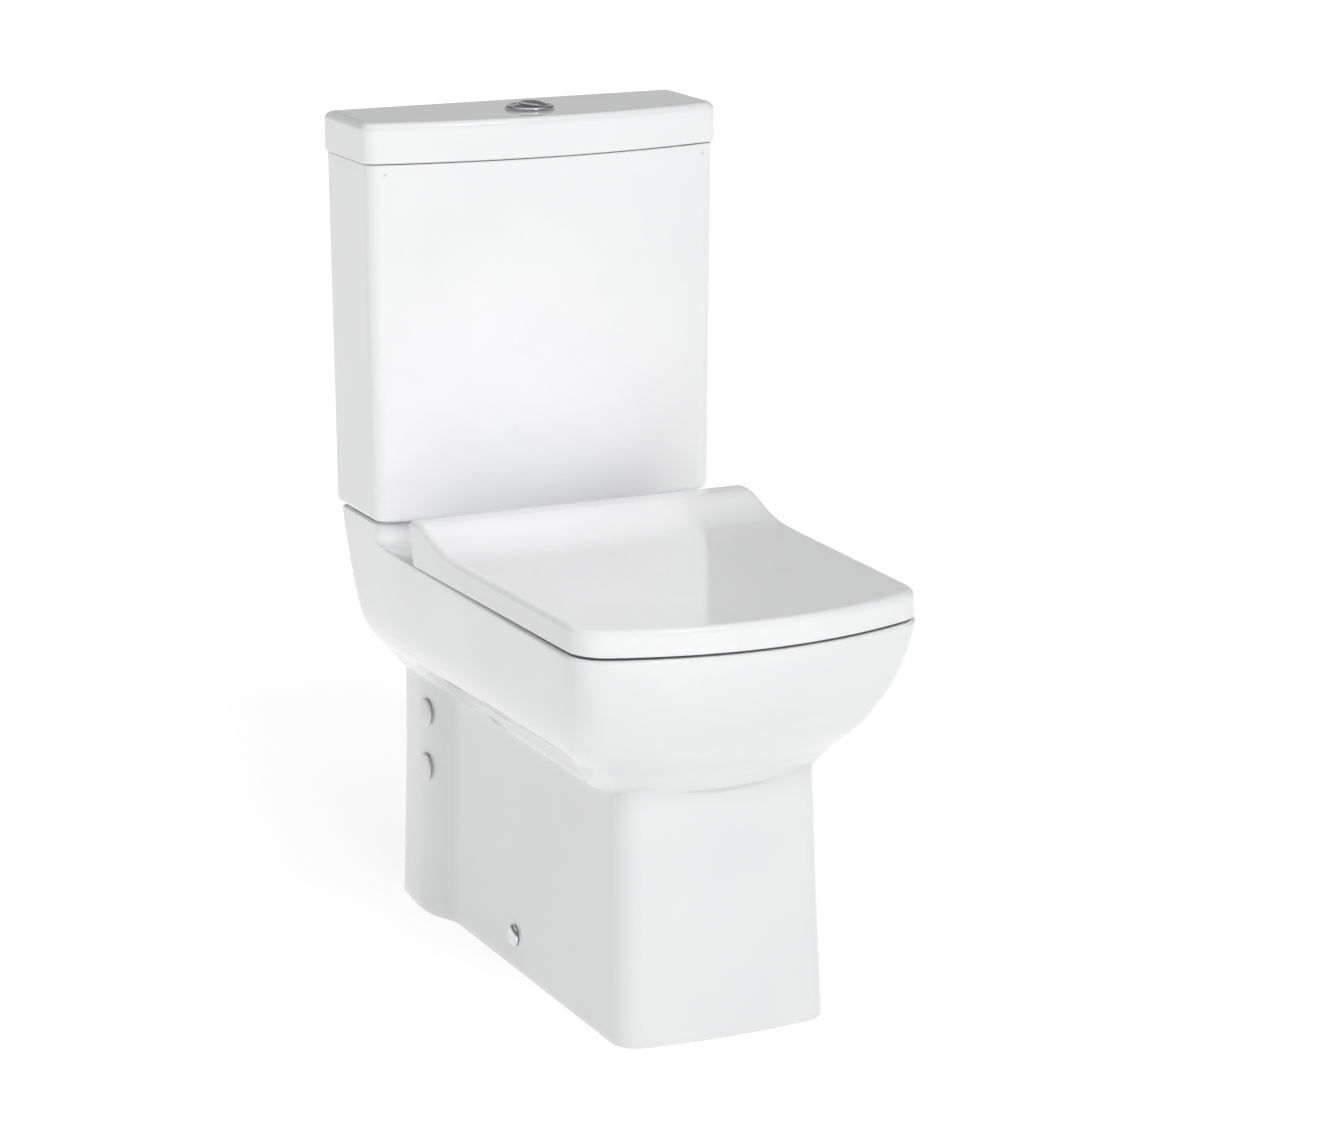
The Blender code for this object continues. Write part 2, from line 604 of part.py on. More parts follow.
for s, tag in ((-1, "left"), (1, "right")):
    wing_nut("seat_wing_nut_" + tag, s * HINGE_X, HINGE_Y, 380.0, WHITE_PLASTIC, 0.5)

# buffers: four under the ring, two under the lid
for k, (x, y) in enumerate(((-145.0, -300.0), (145.0, -300.0), (-128.0, -520.0), (128.0, -520.0))):
    cyl("ring_buffer_%d" % (k + 1), 9.0, DECK_Z + 0.3, RING_BOTTOM_Z - 0.3, at=(x, y),
        mat=material("ring_buffer_rubber_%d" % (k + 1), GREY, 0.7), seg=12)
for s, tag in ((-1, "left"), (1, "right")):
    cyl("lid_buffer_" + tag, 7.0, RING_TOP_Z + 0.3, SEAT_TOP_Z - SEAT_WALL - 0.3,
        at=(s * 136.0, -500.0), mat=material("lid_buffer_rubber_" + tag, GREY, 0.7), seg=12)

# ---------------------------------------------------------------- flush button
chrome = material("bezel_chrome", CHROME, 0.08, 1.0)
bezel = cyl("button_bezel", 25.0, LID_TOP_Z + 0.3, LID_TOP_Z + 3.4, at=(0.0, FLUSH_Y), mat=chrome,
            seg=24, r2=23.5)
add(bezel, cyl("bezel_sleeve", 20.9, 776.0, LID_TOP_Z + 2.0, at=(0.0, FLUSH_Y), cutter=True,
               seg=24))
cut(bezel, cyl("bezel_bore", 18.9, 770.0, 830.0, at=(0.0, FLUSH_Y), cutter=True, seg=24))
nut = cyl("button_nut", 30.0, 796.0, LID_CEILING_Z - 0.4, at=(0.0, FLUSH_Y),
          mat=material("button_nut_plastic", WHITE_PLASTIC, 0.5), seg=8)
cut(nut, cyl("button_nut_hole", 21.3, 790.0, 815.0, at=(0.0, FLUSH_Y), cutter=True, seg=24))


def disc(name, top, mat):
    ob = cyl(name, 18.4, 810.0, top - 2.2, at=(0.0, FLUSH_Y), mat=mat, seg=24)
    add(ob, cyl(name + "_crown", 18.4, top - 2.3, top, at=(0.0, FLUSH_Y), r2=12.0, cutter=True,
                seg=24))
    return ob


big = disc("button_large", 828.5, material("button_large_chrome", CHROME, 0.06, 1.0))
keep = cyl("large_keep", 15.8, 800.0, 840.0, at=(6.2, FLUSH_Y), cutter=True, seg=24)
boolean(big, keep, 'INTERSECT')
small = disc("button_small", 825.6, material("button_small_chrome", CHROME, 0.08, 1.0))
cut(small, cyl("small_cut", 16.4, 800.0, 840.0, at=(6.2, FLUSH_Y), cutter=True, seg=24))
cyl("button_rod_large", 3.0, 678.4, 809.6, at=(7.0, FLUSH_Y),
    mat=material("rod_large_plastic", WHITE_PLASTIC, 0.5), seg=12)
cyl("button_rod_small", 2.2, 678.4, 809.6, at=(-13.6, FLUSH_Y),
    mat=material("rod_small_plastic", WHITE_PLASTIC, 0.5), seg=12)

# ---------------------------------------------------------------- flush valve
FV = (0.0, FLUSH_Y)
base = cyl("flush_valve_base", 36.0, 433.4, 439.6, at=FV, mat=material("valve_base_plastic",
                                                                      GREY, 0.5), seg=24)
add(base, cyl("base_tail", 26.0, 396.0, 435.0, at=FV, cutter=True, seg=24))
cut(base, cyl("base_bore", 21.0, 390.0, 450.0, at=FV, cutter=True, seg=24))
tower = cyl("flush_valve_body", 30.0, 440.0, 630.0, at=FV,
            mat=material("valve_body_plastic", WHITE_PLASTIC, 0.45), seg=24)
cut(tower, cyl("tower_bore", 27.5, 430.0, 640.0, at=FV, cutter=True, seg=24),
    box("tower_window_x", (-40.0, FLUSH_Y - 11.0, 446.0), (40.0, FLUSH_Y + 11.0, 482.0),
        cutter=True),
    box("tower_window_y", (-11.0, FLUSH_Y - 40.0, 446.0), (11.0, FLUSH_Y + 40.0, 482.0),
        cutter=True))
head = box("flush_valve_head", (-25.0, FLUSH_Y - 21.0, 630.4), (25.0, FLUSH_Y + 21.0, 672.0),
           material("valve_head_plastic", BLUE, 0.45), bevel=3.0)
core = cyl("lift_core", 12.0, 443.8, 600.0, at=FV, mat=material("lift_core_plastic", RED, 0.45))
add(core, cyl("core_disc", 24.0, 443.9, 449.0, at=FV, cutter=True, seg=24))
cut(core, cyl("core_bore", 9.5, 435.0, 610.0, at=FV, cutter=True))
seal = cyl("flush_seal", 25.0, 440.0, 443.4, at=FV, mat=material("flush_seal_rubber", RUBBER, 0.7),
           seg=24)
cut(seal, cyl("seal_hole", 15.0, 430.0, 450.0, at=FV, cutter=True))
backnut = cyl("flush_backnut", 34.0, 408.2, 422.4, at=FV,
              mat=material("backnut_plastic", GREY, 0.5), seg=8)
cut(backnut, cyl("backnut_hole", 26.5, 400.0, 430.0, at=FV, cutter=True, seg=24))
doughnut = cyl("doughnut_washer", 39.4, 398.9, 407.8, at=FV,
               mat=material("doughnut_rubber", RUBBER, 0.85), seg=24)
cut(doughnut, cyl("doughnut_hole", 26.6, 390.0, 415.0, at=FV, cutter=True, seg=24))

# ---------------------------------------------------------------- fill valve
FI = (FILL_X, FILL_Y)
fill = cyl("fill_valve_body", 11.0, 439.0, 656.0, at=FI, mat=material("fill_body_plastic",
                                                                     WHITE_PLASTIC, 0.45), seg=16)
add(fill, cyl("fill_flange", 17.0, 436.1, 440.0, at=FI, cutter=True, seg=16),
    cyl("fill_tail", 9.6, 385.3, 437.0, at=FI, cutter=True, seg=16),
    cyl("fill_head", 17.0, 654.0, 664.0, at=FI, cutter=True, seg=16),
    box("fill_ear_front", (FILL_X - 19.0, FILL_Y - 12.0, 655.0),
        (FILL_X - 7.0, FILL_Y - 6.0, 690.0), cutter=True),
    box("fill_ear_back", (FILL_X - 19.0, FILL_Y + 6.0, 655.0),
        (FILL_X - 7.0, FILL_Y + 12.0, 690.0), cutter=True))
cut(fill, cyl("ear_hole", 2.5, FILL_Y - 20.0, FILL_Y + 20.0, 'Y', (FILL_X - 13.0, 683.0),
              cutter=True, seg=12),
    cyl("fill_bore", 4.0, 380.0, 640.0, at=FI, cutter=True, seg=12))
fw = cyl("fill_washer", 16.0, 433.4, 435.8, at=FI, mat=material("fill_washer_rubber", RUBBER, 0.8),
         seg=16)
cut(fw, cyl("fill_washer_hole", 10.0, 425.0, 440.0, at=FI, cutter=True, seg=16))
fn = cyl("fill_backnut", 17.0, 409.0, 422.4, at=FI, mat=material("fill_nut_plastic", GREY, 0.5),
         seg=6)
cut(fn, cyl("fill_nut_hole", 10.0, 400.0, 430.0, at=FI, cutter=True, seg=16))
flt = cyl("fill_float", 24.0, 570.0, 630.0, at=FI, mat=material("float_plastic", BLUE, 0.5))
cut(flt, cyl("float_hole", 11.8, 560.0, 640.0, at=FI, cutter=True, seg=16))
cyl("float_rod", 1.6, 630.3, 704.0, at=(FILL_X + 19.5, FILL_Y),
    mat=material("float_rod_plastic", WHITE_PLASTIC, 0.4), seg=10)
lever = box("fill_lever", (FILL_X - 17.0, FILL_Y - 5.4, 680.0), (FILL_X + 31.0, FILL_Y + 5.4, 686.0),
            material("fill_lever_plastic", GREY, 0.5))
add(lever, cyl("lever_trunnion", 2.0, FILL_Y - 12.5, FILL_Y + 12.5, 'Y',
               (FILL_X - 13.0, 683.0), cutter=True, seg=12))
cut(lever, box("lever_slot", (FILL_X + 10.5, FILL_Y - 2.6, 670.0),
               (FILL_X + 28.0, FILL_Y + 2.6, 695.0), cutter=True))

# ---------------------------------------------------------------- close coupling
for s, tag in ((-1, "left"), (1, "right")):
    at = (s * COUPLING_X, FLUSH_Y)
    bolt = cyl("coupling_bolt_" + tag, 4.0, 362.0, 438.0, at=at,
               mat=material("coupling_brass_" + tag, (0.72, 0.58, 0.30), 0.35, 1.0), seg=12)
    add(bolt, cyl("coupling_head_" + tag, 11.0, 436.2, 441.0, at=at, cutter=True, seg=6))
    w = cyl("coupling_washer_" + tag, 14.0, 433.4, 435.9, at=at,
            mat=material("coupling_rubber_" + tag, RUBBER, 0.8), seg=16)
    cut(w, cyl("coupling_washer_hole_" + tag, 4.4, 425.0, 445.0, at=at, cutter=True, seg=12))
    wing_nut("coupling_wing_nut_" + tag, at[0], at[1], CAVITY_TOP_Z - 0.4, (0.72, 0.58, 0.30),
             0.35, 1.0)

# ---------------------------------------------------------------- side caps, floor fixings
for s, tag in ((-1, "left"), (1, "right")):
    for (y, z), level in zip(SIDE_CAPS, ("upper", "lower")):
        share = lerp_table(PAN_SECTIONS, z, 5)
        face = lerp_table(PAN_SECTIONS, z, 1) + share * 15.3 + 0.5
        cap = cyl("side_cap_%s_%s" % (level, tag), SIDE_CAP_R, *sorted((s * face, s * (face + 3.0))),
                  'X', (y, z), mat=material("cap_plastic_%s_%s" % (level, tag), WHITE_PLASTIC, 0.25),
                  seg=20)
        add(cap, cyl("cap_stem_%s_%s" % (level, tag), 9.5, *sorted((s * (face - 9.0),
                                                                  s * (face + 1.0))), 'X', (y, z),
                     cutter=True, seg=16))
    wall = lerp_table(PAN_SECTIONS, FLOOR_SCREW_Z, 1)
    ax = (FLOOR_SCREW_Y, FLOOR_SCREW_Z)
    screw = cyl("floor_screw_" + tag, 3.0, *sorted((s * (wall + 1.5), s * 74.0)), 'X', ax,
                mat=material("screw_steel_" + tag, STEEL, 0.3, 1.0), seg=12)
    add(screw, cyl("screw_head_" + tag, 6.0, *sorted((s * (wall + 0.7), s * (wall + 3.2))), 'X', ax,
                   cutter=True, seg=16))
    cover = cyl("screw_cover_" + tag, 11.0, *sorted((s * (wall + 0.6), s * (wall + 5.0))), 'X', ax,
                mat=material("cover_chrome_" + tag, CHROME, 0.08, 1.0), seg=20)
    cut(cover, cyl("cover_inside_" + tag, 7.0, *sorted((s * (wall - 3.0), s * (wall + 3.7))), 'X',
                   ax, cutter=True, seg=16))
    bracket = box("floor_bracket_" + tag, tuple(min(a, b) for a, b in
                                                zip((s * 95.0, -288.0, 0.0), (s * 68.0, -258.0, 52.0))),
                  tuple(max(a, b) for a, b in zip((s * 95.0, -288.0, 0.0), (s * 68.0, -258.0, 52.0))),
                  material("bracket_plastic_" + tag, GREY, 0.6), bevel=2.0)
    cut(bracket, cyl("bracket_hole_" + tag, 3.5, *sorted((s * 60.0, s * 104.0)), 'X', ax,
                     cutter=True, seg=12))

# ---------------------------------------------------------------- joint axes
D = bpy.data.objects
ring_axis = empty("seat_ring_axis", 0.0, HINGE_Y, HINGE_Z)
lid_axis = empty("seat_lid_axis", 0.0, HINGE_Y, HINGE_Z)
parent(ring_axis, D["seat_ring"], D["ring_hinge_left"], D["ring_hinge_right"],
       D["hinge_pin_left"], D["hinge_pin_right"],
       D["ring_buffer_1"], D["ring_buffer_2"], D["ring_buffer_3"], D["ring_buffer_4"], lid_axis)
parent(lid_axis, D["seat_lid"], D["lid_hinge_left"], D["lid_hinge_right"],
       D["lid_buffer_left"], D["lid_buffer_right"])
lift_axis = empty("cistern_lid_axis", 0.0, FLUSH_Y, LID_BOTTOM_Z)
large_axis = empty("button_large_axis", 6.0, FLUSH_Y, LID_TOP_Z)
small_axis = empty("button_small_axis", -14.0, FLUSH_Y, LID_TOP_Z)
parent(lift_axis, D["cistern_lid"], D["button_bezel"], D["button_nut"], large_axis, small_axis)
parent(large_axis, D["button_large"], D["button_rod_large"])
parent(small_axis, D["button_small"], D["button_rod_small"])
core_axis = empty("lift_core_axis", 0.0, FLUSH_Y, 440.0)
parent(core_axis, D["lift_core"], D["flush_seal"])
float_axis = empty("float_axis", FILL_X, FILL_Y, 600.0)
parent(float_axis, D["fill_float"], D["float_rod"])
lever_axis = empty("lever_axis", FILL_X - 13.0, FILL_Y, 683.0)
parent(lever_axis, D["fill_lever"])
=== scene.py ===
"""Looks of the close coupled toilet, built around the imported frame."""
import json
import math
from math import pi, sin, cos, radians

import bpy
import bmesh
import numpy as np
from mathutils import Matrix, Vector


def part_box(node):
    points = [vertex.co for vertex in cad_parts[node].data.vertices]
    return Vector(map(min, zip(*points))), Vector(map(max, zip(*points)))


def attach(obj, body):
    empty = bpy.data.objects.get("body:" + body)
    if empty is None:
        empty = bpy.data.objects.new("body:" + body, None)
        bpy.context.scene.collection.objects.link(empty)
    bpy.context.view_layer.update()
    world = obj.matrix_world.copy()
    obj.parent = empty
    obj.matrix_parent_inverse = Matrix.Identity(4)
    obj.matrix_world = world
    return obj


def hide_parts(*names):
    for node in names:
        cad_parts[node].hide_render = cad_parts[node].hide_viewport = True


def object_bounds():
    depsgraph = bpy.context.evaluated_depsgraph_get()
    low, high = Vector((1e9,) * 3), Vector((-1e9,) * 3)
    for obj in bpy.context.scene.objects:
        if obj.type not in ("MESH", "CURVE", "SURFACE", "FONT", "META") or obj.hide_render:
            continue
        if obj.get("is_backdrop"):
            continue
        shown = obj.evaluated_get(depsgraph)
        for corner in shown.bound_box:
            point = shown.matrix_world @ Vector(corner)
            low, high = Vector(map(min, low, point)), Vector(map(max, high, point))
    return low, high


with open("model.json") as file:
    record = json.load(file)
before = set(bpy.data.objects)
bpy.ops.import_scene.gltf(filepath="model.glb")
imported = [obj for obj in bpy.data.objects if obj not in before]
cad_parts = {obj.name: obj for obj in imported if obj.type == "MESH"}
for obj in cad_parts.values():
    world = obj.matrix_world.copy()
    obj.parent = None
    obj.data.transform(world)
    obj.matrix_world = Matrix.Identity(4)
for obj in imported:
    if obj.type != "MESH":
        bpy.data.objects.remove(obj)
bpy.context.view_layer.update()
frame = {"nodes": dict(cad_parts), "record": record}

# lengths below are millimetres; y is measured from the wall plane, front negative
MM = 0.001
DC = 310.5


def P(x, y, z):
    return ((x) * MM, (y + DC) * MM, z * MM)


# ------------------------------------------------------------------ materials
def _new(name):
    mat = bpy.data.materials.new(name)
    mat.use_nodes = True
    nt = mat.node_tree
    return mat, nt, nt.nodes["Principled BSDF"]


def _coords(nt, scale=1.0):
    tc = nt.nodes.new("ShaderNodeTexCoord")
    mp = nt.nodes.new("ShaderNodeMapping")
    mp.inputs["Scale"].default_value = (scale, scale, scale)
    nt.links.new(tc.outputs["Object"], mp.inputs["Vector"])
    return mp.outputs["Vector"]


def _noise(nt, vec, scale, detail=3.0, rough=0.5):
    n = nt.nodes.new("ShaderNodeTexNoise")
    n.inputs["Scale"].default_value = scale
    n.inputs["Detail"].default_value = detail
    n.inputs["Roughness"].default_value = rough
    nt.links.new(vec, n.inputs["Vector"])
    return n.outputs["Fac"]


def _range(nt, fac, a, b, lo=0.3, hi=0.7):
    m = nt.nodes.new("ShaderNodeMapRange")
    m.inputs["From Min"].default_value = lo
    m.inputs["From Max"].default_value = hi
    m.inputs["To Min"].default_value = a
    m.inputs["To Max"].default_value = b
    nt.links.new(fac, m.inputs["Value"])
    return m.outputs["Result"]


def _mix(nt, fac, a, b):
    m = nt.nodes.new("ShaderNodeMix")
    m.data_type = 'RGBA'
    m.inputs["A"].default_value = (*a, 1.0)
    m.inputs["B"].default_value = (*b, 1.0)
    nt.links.new(fac, m.inputs["Factor"])
    return m.outputs["Result"]


def _bump(nt, bsdf, fac, strength, dist):
    b = nt.nodes.new("ShaderNodeBump")
    b.inputs["Strength"].default_value = strength
    b.inputs["Distance"].default_value = dist
    nt.links.new(fac, b.inputs["Height"])
    nt.links.new(b.outputs["Normal"], bsdf.inputs["Normal"])


def gloss_material(name, light, dark, rough=(0.05, 0.09), wave=0.00012, wave_scale=22.0,
                   grain_scale=900.0, coat=0.6, coat_rough=0.03, ior=1.52, foot=False):
    """Glaze or polished moulding: faint tone drift, orange peel and pin-size specks of roughness."""
    mat, nt, bsdf = _new(name)
    v = _coords(nt)
    drift = _noise(nt, v, 9.0, 2.0)
    col = _mix(nt, _range(nt, drift, 0.0, 1.0), light, dark)
    if foot:
        # unglazed clay on the last millimetre above the floor
        sep = nt.nodes.new("ShaderNodeSeparateXYZ")
        nt.links.new(v, sep.inputs[0])
        edge = _range(nt, sep.outputs["Z"], 1.0, 0.0, 0.0003, 0.0011)
        m = nt.nodes.new("ShaderNodeMix")
        m.data_type = 'RGBA'
        m.inputs["B"].default_value = (0.74, 0.71, 0.66, 1.0)
        nt.links.new(edge, m.inputs["Factor"])
        nt.links.new(col, m.inputs["A"])
        col = m.outputs["Result"]
    nt.links.new(col, bsdf.inputs["Base Color"])
    fine = _noise(nt, v, grain_scale, 2.0)
    nt.links.new(_range(nt, fine, rough[0], rough[1]), bsdf.inputs["Roughness"])
    bsdf.inputs["IOR"].default_value = ior
    bsdf.inputs["Coat Weight"].default_value = coat
    bsdf.inputs["Coat Roughness"].default_value = coat_rough
    _bump(nt, bsdf, _noise(nt, v, wave_scale, 1.0, 0.4), 0.35, wave)
    return mat


def plastic_material(name, light, dark, rough=(0.35, 0.5), grain=700.0, depth=0.00006):
    mat, nt, bsdf = _new(name)
    v = _coords(nt)
    nt.links.new(_mix(nt, _range(nt, _noise(nt, v, 30.0, 3.0), 0.0, 1.0), light, dark),
                 bsdf.inputs["Base Color"])
    g = _noise(nt, v, grain, 4.0)
    nt.links.new(_range(nt, g, rough[0], rough[1]), bsdf.inputs["Roughness"])
    _bump(nt, bsdf, g, 0.4, depth)
    return mat


def rubber_material(name, light, dark):
    mat, nt, bsdf = _new(name)
    v = _coords(nt)
    g = _noise(nt, v, 1200.0, 5.0)
    nt.links.new(_mix(nt, _range(nt, _noise(nt, v, 60.0, 3.0), 0.0, 1.0), light, dark),
                 bsdf.inputs["Base Color"])
    nt.links.new(_range(nt, g, 0.62, 0.85), bsdf.inputs["Roughness"])
    bsdf.inputs["Specular IOR Level"].default_value = 0.3
    _bump(nt, bsdf, g, 0.5, 0.00012)
    return mat


def metal_material(name, col, dark, rough=(0.04, 0.09), scratch=0.00003, brushed=False,
                   brush_axis=(1.0, 1.0, 40.0)):
    mat, nt, bsdf = _new(name)
    tc = nt.nodes.new("ShaderNodeTexCoord")
    mp = nt.nodes.new("ShaderNodeMapping")
    mp.inputs["Scale"].default_value = brush_axis if brushed else (1.0, 1.0, 1.0)
    nt.links.new(tc.outputs["Object"], mp.inputs["Vector"])
    v = mp.outputs["Vector"]
    n = _noise(nt, v, 180.0 if brushed else 420.0, 4.0, 0.6)
    nt.links.new(_mix(nt, _range(nt, n, 0.0, 1.0), col, dark), bsdf.inputs["Base Color"])
    nt.links.new(_range(nt, n, rough[0], rough[1]), bsdf.inputs["Roughness"])
    bsdf.inputs["Metallic"].default_value = 1.0
    _bump(nt, bsdf, n, 0.25, scratch)
    return mat


GLAZE = gloss_material("glaze_white", (0.83, 0.835, 0.84), (0.80, 0.806, 0.812), foot=True)
SEAT = gloss_material("seat_white", (0.84, 0.845, 0.85), (0.815, 0.82, 0.825), rough=(0.10, 0.15),
                      wave=0.00006, wave_scale=34.0, coat=0.25, coat_rough=0.06, ior=1.49)
CAP = gloss_material("cap_white", (0.86, 0.86, 0.86), (0.83, 0.83, 0.83), rough=(0.16, 0.24),
                     wave=0.00004, wave_scale=60.0, coat=0.1, coat_rough=0.1, ior=1.46)
CHROME = metal_material("chrome_plate", (0.78, 0.79, 0.80), (0.68, 0.69, 0.70))
STEEL = metal_material("stainless", (0.58, 0.58, 0.58), (0.46, 0.46, 0.46), rough=(0.22, 0.36),
                       scratch=0.00008, brushed=True)
BRASS = metal_material("brass", (0.72, 0.56, 0.27), (0.56, 0.42, 0.19), rough=(0.2, 0.38),
                       scratch=0.00008, brushed=True)
RUBBER = rubber_material("black_rubber", (0.030, 0.030, 0.031), (0.018, 0.018, 0.019))
BUFFER = rubber_material("buffer_grey", (0.56, 0.57, 0.58), (0.50, 0.51, 0.52))
WHITE = plastic_material("white_moulding", (0.80, 0.80, 0.79), (0.74, 0.74, 0.73))
GREY = plastic_material("grey_moulding", (0.34, 0.36, 0.38), (0.28, 0.30, 0.32))
INSERT = plastic_material("hinge_insert", (0.50, 0.51, 0.53), (0.44, 0.45, 0.47), rough=(0.3, 0.42))
BLUE = plastic_material("blue_moulding", (0.045, 0.14, 0.42), (0.035, 0.11, 0.34))
RED = plastic_material("red_moulding", (0.50, 0.045, 0.03), (0.40, 0.03, 0.02))

SLOT_MAT = {"glazed_ceramic": GLAZE, "seat_plastic": SEAT, "hinge_plastic": INSERT,
            "chrome": CHROME, "steel": STEEL, "brass": BRASS, "rubber": RUBBER,
            "buffer_rubber": BUFFER, "white_plastic": WHITE, "cap_plastic": CAP,
            "grey_plastic": GREY, "blue_plastic": BLUE, "red_plastic": RED}
NODE_SLOT = {s["node"]: s["material_slot"] for s in frame["record"]["subparts"]}
for node, ob in frame["nodes"].items():
    ob.data.materials.clear()
    ob.data.materials.append(SLOT_MAT[NODE_SLOT[node]])


# ------------------------------------------------------------------ mesh tools
def mesh_object(name, verts, faces, mat=None, angle=35.0, smooth=True):
    me = bpy.data.meshes.new(name)
    me.from_pydata([tuple(map(float, v)) for v in verts], [], [tuple(map(int, f)) for f in faces])
    me.validate()
    bm = bmesh.new()
    bm.from_mesh(me)
    bmesh.ops.recalc_face_normals(bm, faces=bm.faces)
    bm.to_mesh(me)
    bm.free()
    ob = bpy.data.objects.new(name, me)
    bpy.context.scene.collection.objects.link(ob)
    if smooth:
        me.shade_smooth()
        me.set_sharp_from_angle(angle=radians(angle))
    if mat is not None:
        me.materials.append(mat)
    return ob


def loft(name, rings, mat=None, caps="ladder", closed=False, angle=35.0):
    """rings: arrays (n, 3) in millimetres, y from the wall."""
    R = [np.asarray(r, float) for r in rings]
    n = len(R[0])
    V = np.vstack(R).copy()
    V[:, 1] += DC
    V *= MM
    F = []
    m = len(R)
    idx = np.arange(n)
    jdx = (idx + 1) % n
    for k in range(m - 1 + (1 if closed else 0)):
        a, b = k * n, ((k + 1) % m) * n
        F += [(a + i, a + j, b + j, b + i) for i, j in zip(idx, jdx)]
    if not closed and caps:
        for base in (0, (m - 1) * n):
            if caps == "ngon" or np.ptp(R[0 if base == 0 else m - 1][:, 2]) < 1e-6:
                F.append(tuple(base + i for i in range(n)))
                continue
            h = n // 2
            p = R[0 if base == 0 else m - 1]
            q = 1
            while q < h - 2 and abs(p[q + 1, 1] - p[0, 1]) < 1e-6:
                q += 1
            q += 1
            F.append(tuple(base + i for i in list(range(q + 1)) + list(range(n - q, n))))
            for i in range(q, h - 1):
                F.append((base + i, base + i + 1, base + n - i - 1, base + n - i))
            F.append((base + h - 1, base + h, base + n - h + 1))
    return mesh_object(name, V, F, mat, angle)


def cyl(name, r, a, b, axis, at, seg=48, r2=None):
    """Plain cutter cylinder; lengths in mm."""
    r2 = r if r2 is None else r2
    t = np.arange(seg) * 2 * pi / seg
    rings = []
    for rr, c in ((r, a), (r2, b)):
        if axis == 'Z':
            pts = np.c_[at[0] + rr * np.cos(t), at[1] + rr * np.sin(t), np.full(seg, c)]
        elif axis == 'X':
            pts = np.c_[np.full(seg, c), at[0] + rr * np.cos(t), at[1] + rr * np.sin(t)]
        else:
            pts = np.c_[at[0] + rr * np.cos(t), np.full(seg, c), at[1] + rr * np.sin(t)]
        rings.append(pts)
    return loft(name, rings, caps="ngon")


def box(name, lo, hi):
    x0, y0, z0 = lo
    x1, y1, z1 = hi
    ring = [(x0, y0), (x1, y0), (x1, y1), (x0, y1)]
    return loft(name, [[(x, y, z0) for x, y in ring], [(x, y, z1) for x, y in ring]], caps="ngon")


_cutters = []


def boolean(ob, other, op='DIFFERENCE'):
    m = ob.modifiers.new(op, 'BOOLEAN')
    m.operation = op
    m.object = other
    m.solver = 'MANIFOLD'
    if other not in _cutters:
        _cutters.append(other)


def bake(ob, mat=None, angle=35.0, weighted=True, keep=True):
    """Applies the modifiers, cleans the result and sets smooth shading with sharp edges."""
    dg = bpy.context.evaluated_depsgraph_get()
    me = bpy.data.meshes.new_from_object(ob.evaluated_get(dg))
    old = ob.data
    ob.modifiers.clear()
    ob.data = me
    bpy.data.meshes.remove(old)
    bm = bmesh.new()
    bm.from_mesh(me)
    bmesh.ops.remove_doubles(bm, verts=bm.verts, dist=0.000004)
    bmesh.ops.dissolve_degenerate(bm, dist=0.000004, edges=bm.edges)
    bm.to_mesh(me)
    bm.free()
    me.shade_smooth()
    me.set_sharp_from_angle(angle=radians(angle))
    if mat is not None:
        me.materials.clear()
        me.materials.append(mat)
    if weighted:
        w = ob.modifiers.new("face_weight", 'WEIGHTED_NORMAL')
        w.mode = 'FACE_AREA'
        w.weight = 60
        w.keep_sharp = True
    return ob


def drop_cutters():
    for o in _cutters:
        if o.name in bpy.data.objects:
            bpy.data.objects.remove(o, do_unlink=True)
    _cutters.clear()


# ------------------------------------------------------------------ curves
def pchip(x, y, q):
    """Shape keeping cubic through (x, y), evaluated at q."""
    x, y, q = np.asarray(x, float), np.asarray(y, float), np.asarray(q, float)
    h = np.diff(x)
    d = np.diff(y) / h
    m = np.zeros(len(x))
    m[0], m[-1] = d[0], d[-1]
    for i in range(1, len(x) - 1):
        if d[i - 1] * d[i] > 0:
            w1, w2 = 2 * h[i] + h[i - 1], h[i] + 2 * h[i - 1]
            m[i] = (w1 + w2) / (w1 / d[i - 1] + w2 / d[i])
    q = np.clip(q, x[0], x[-1])
    k = np.clip(np.searchsorted(x, q) - 1, 0, len(h) - 1)
    t = (q - x[k]) / h[k]
    return ((1 + 2 * t) * (1 - t) ** 2 * y[k] + t * (1 - t) ** 2 * h[k] * m[k]
            + t * t * (3 - 2 * t) * y[k + 1] + t * t * (t - 1) * h[k] * m[k + 1])


def table(rows, col, q):
    a = np.array(sorted(rows), float)
    return pchip(a[:, 0], a[:, col], q)


def front_arc(half, yc, bow, radius, steps):
    """Fillet between the side at x = half and the bowed front, from side to front."""
    xs = np.linspace(0, half, 1200)
    fr = yc - bow * (1 - (xs / half) ** 2)
    lo, hi = yc - bow, yc + 3 * radius
    for _ in range(46):
        mid = (lo + hi) / 2
        if np.min(np.hypot(xs - (half - radius), fr - mid)) - radius > 0:
            hi = mid
        else:
            lo = mid
    y0 = (lo + hi) / 2
    k = np.argmin(np.hypot(xs - (half - radius), fr - y0))
    end = math.atan2(fr[k] - y0, xs[k] - (half - radius))
    t = np.linspace(0, end, steps + 1)
    return np.c_[half - radius + radius * np.cos(t), y0 + radius * np.sin(t)]


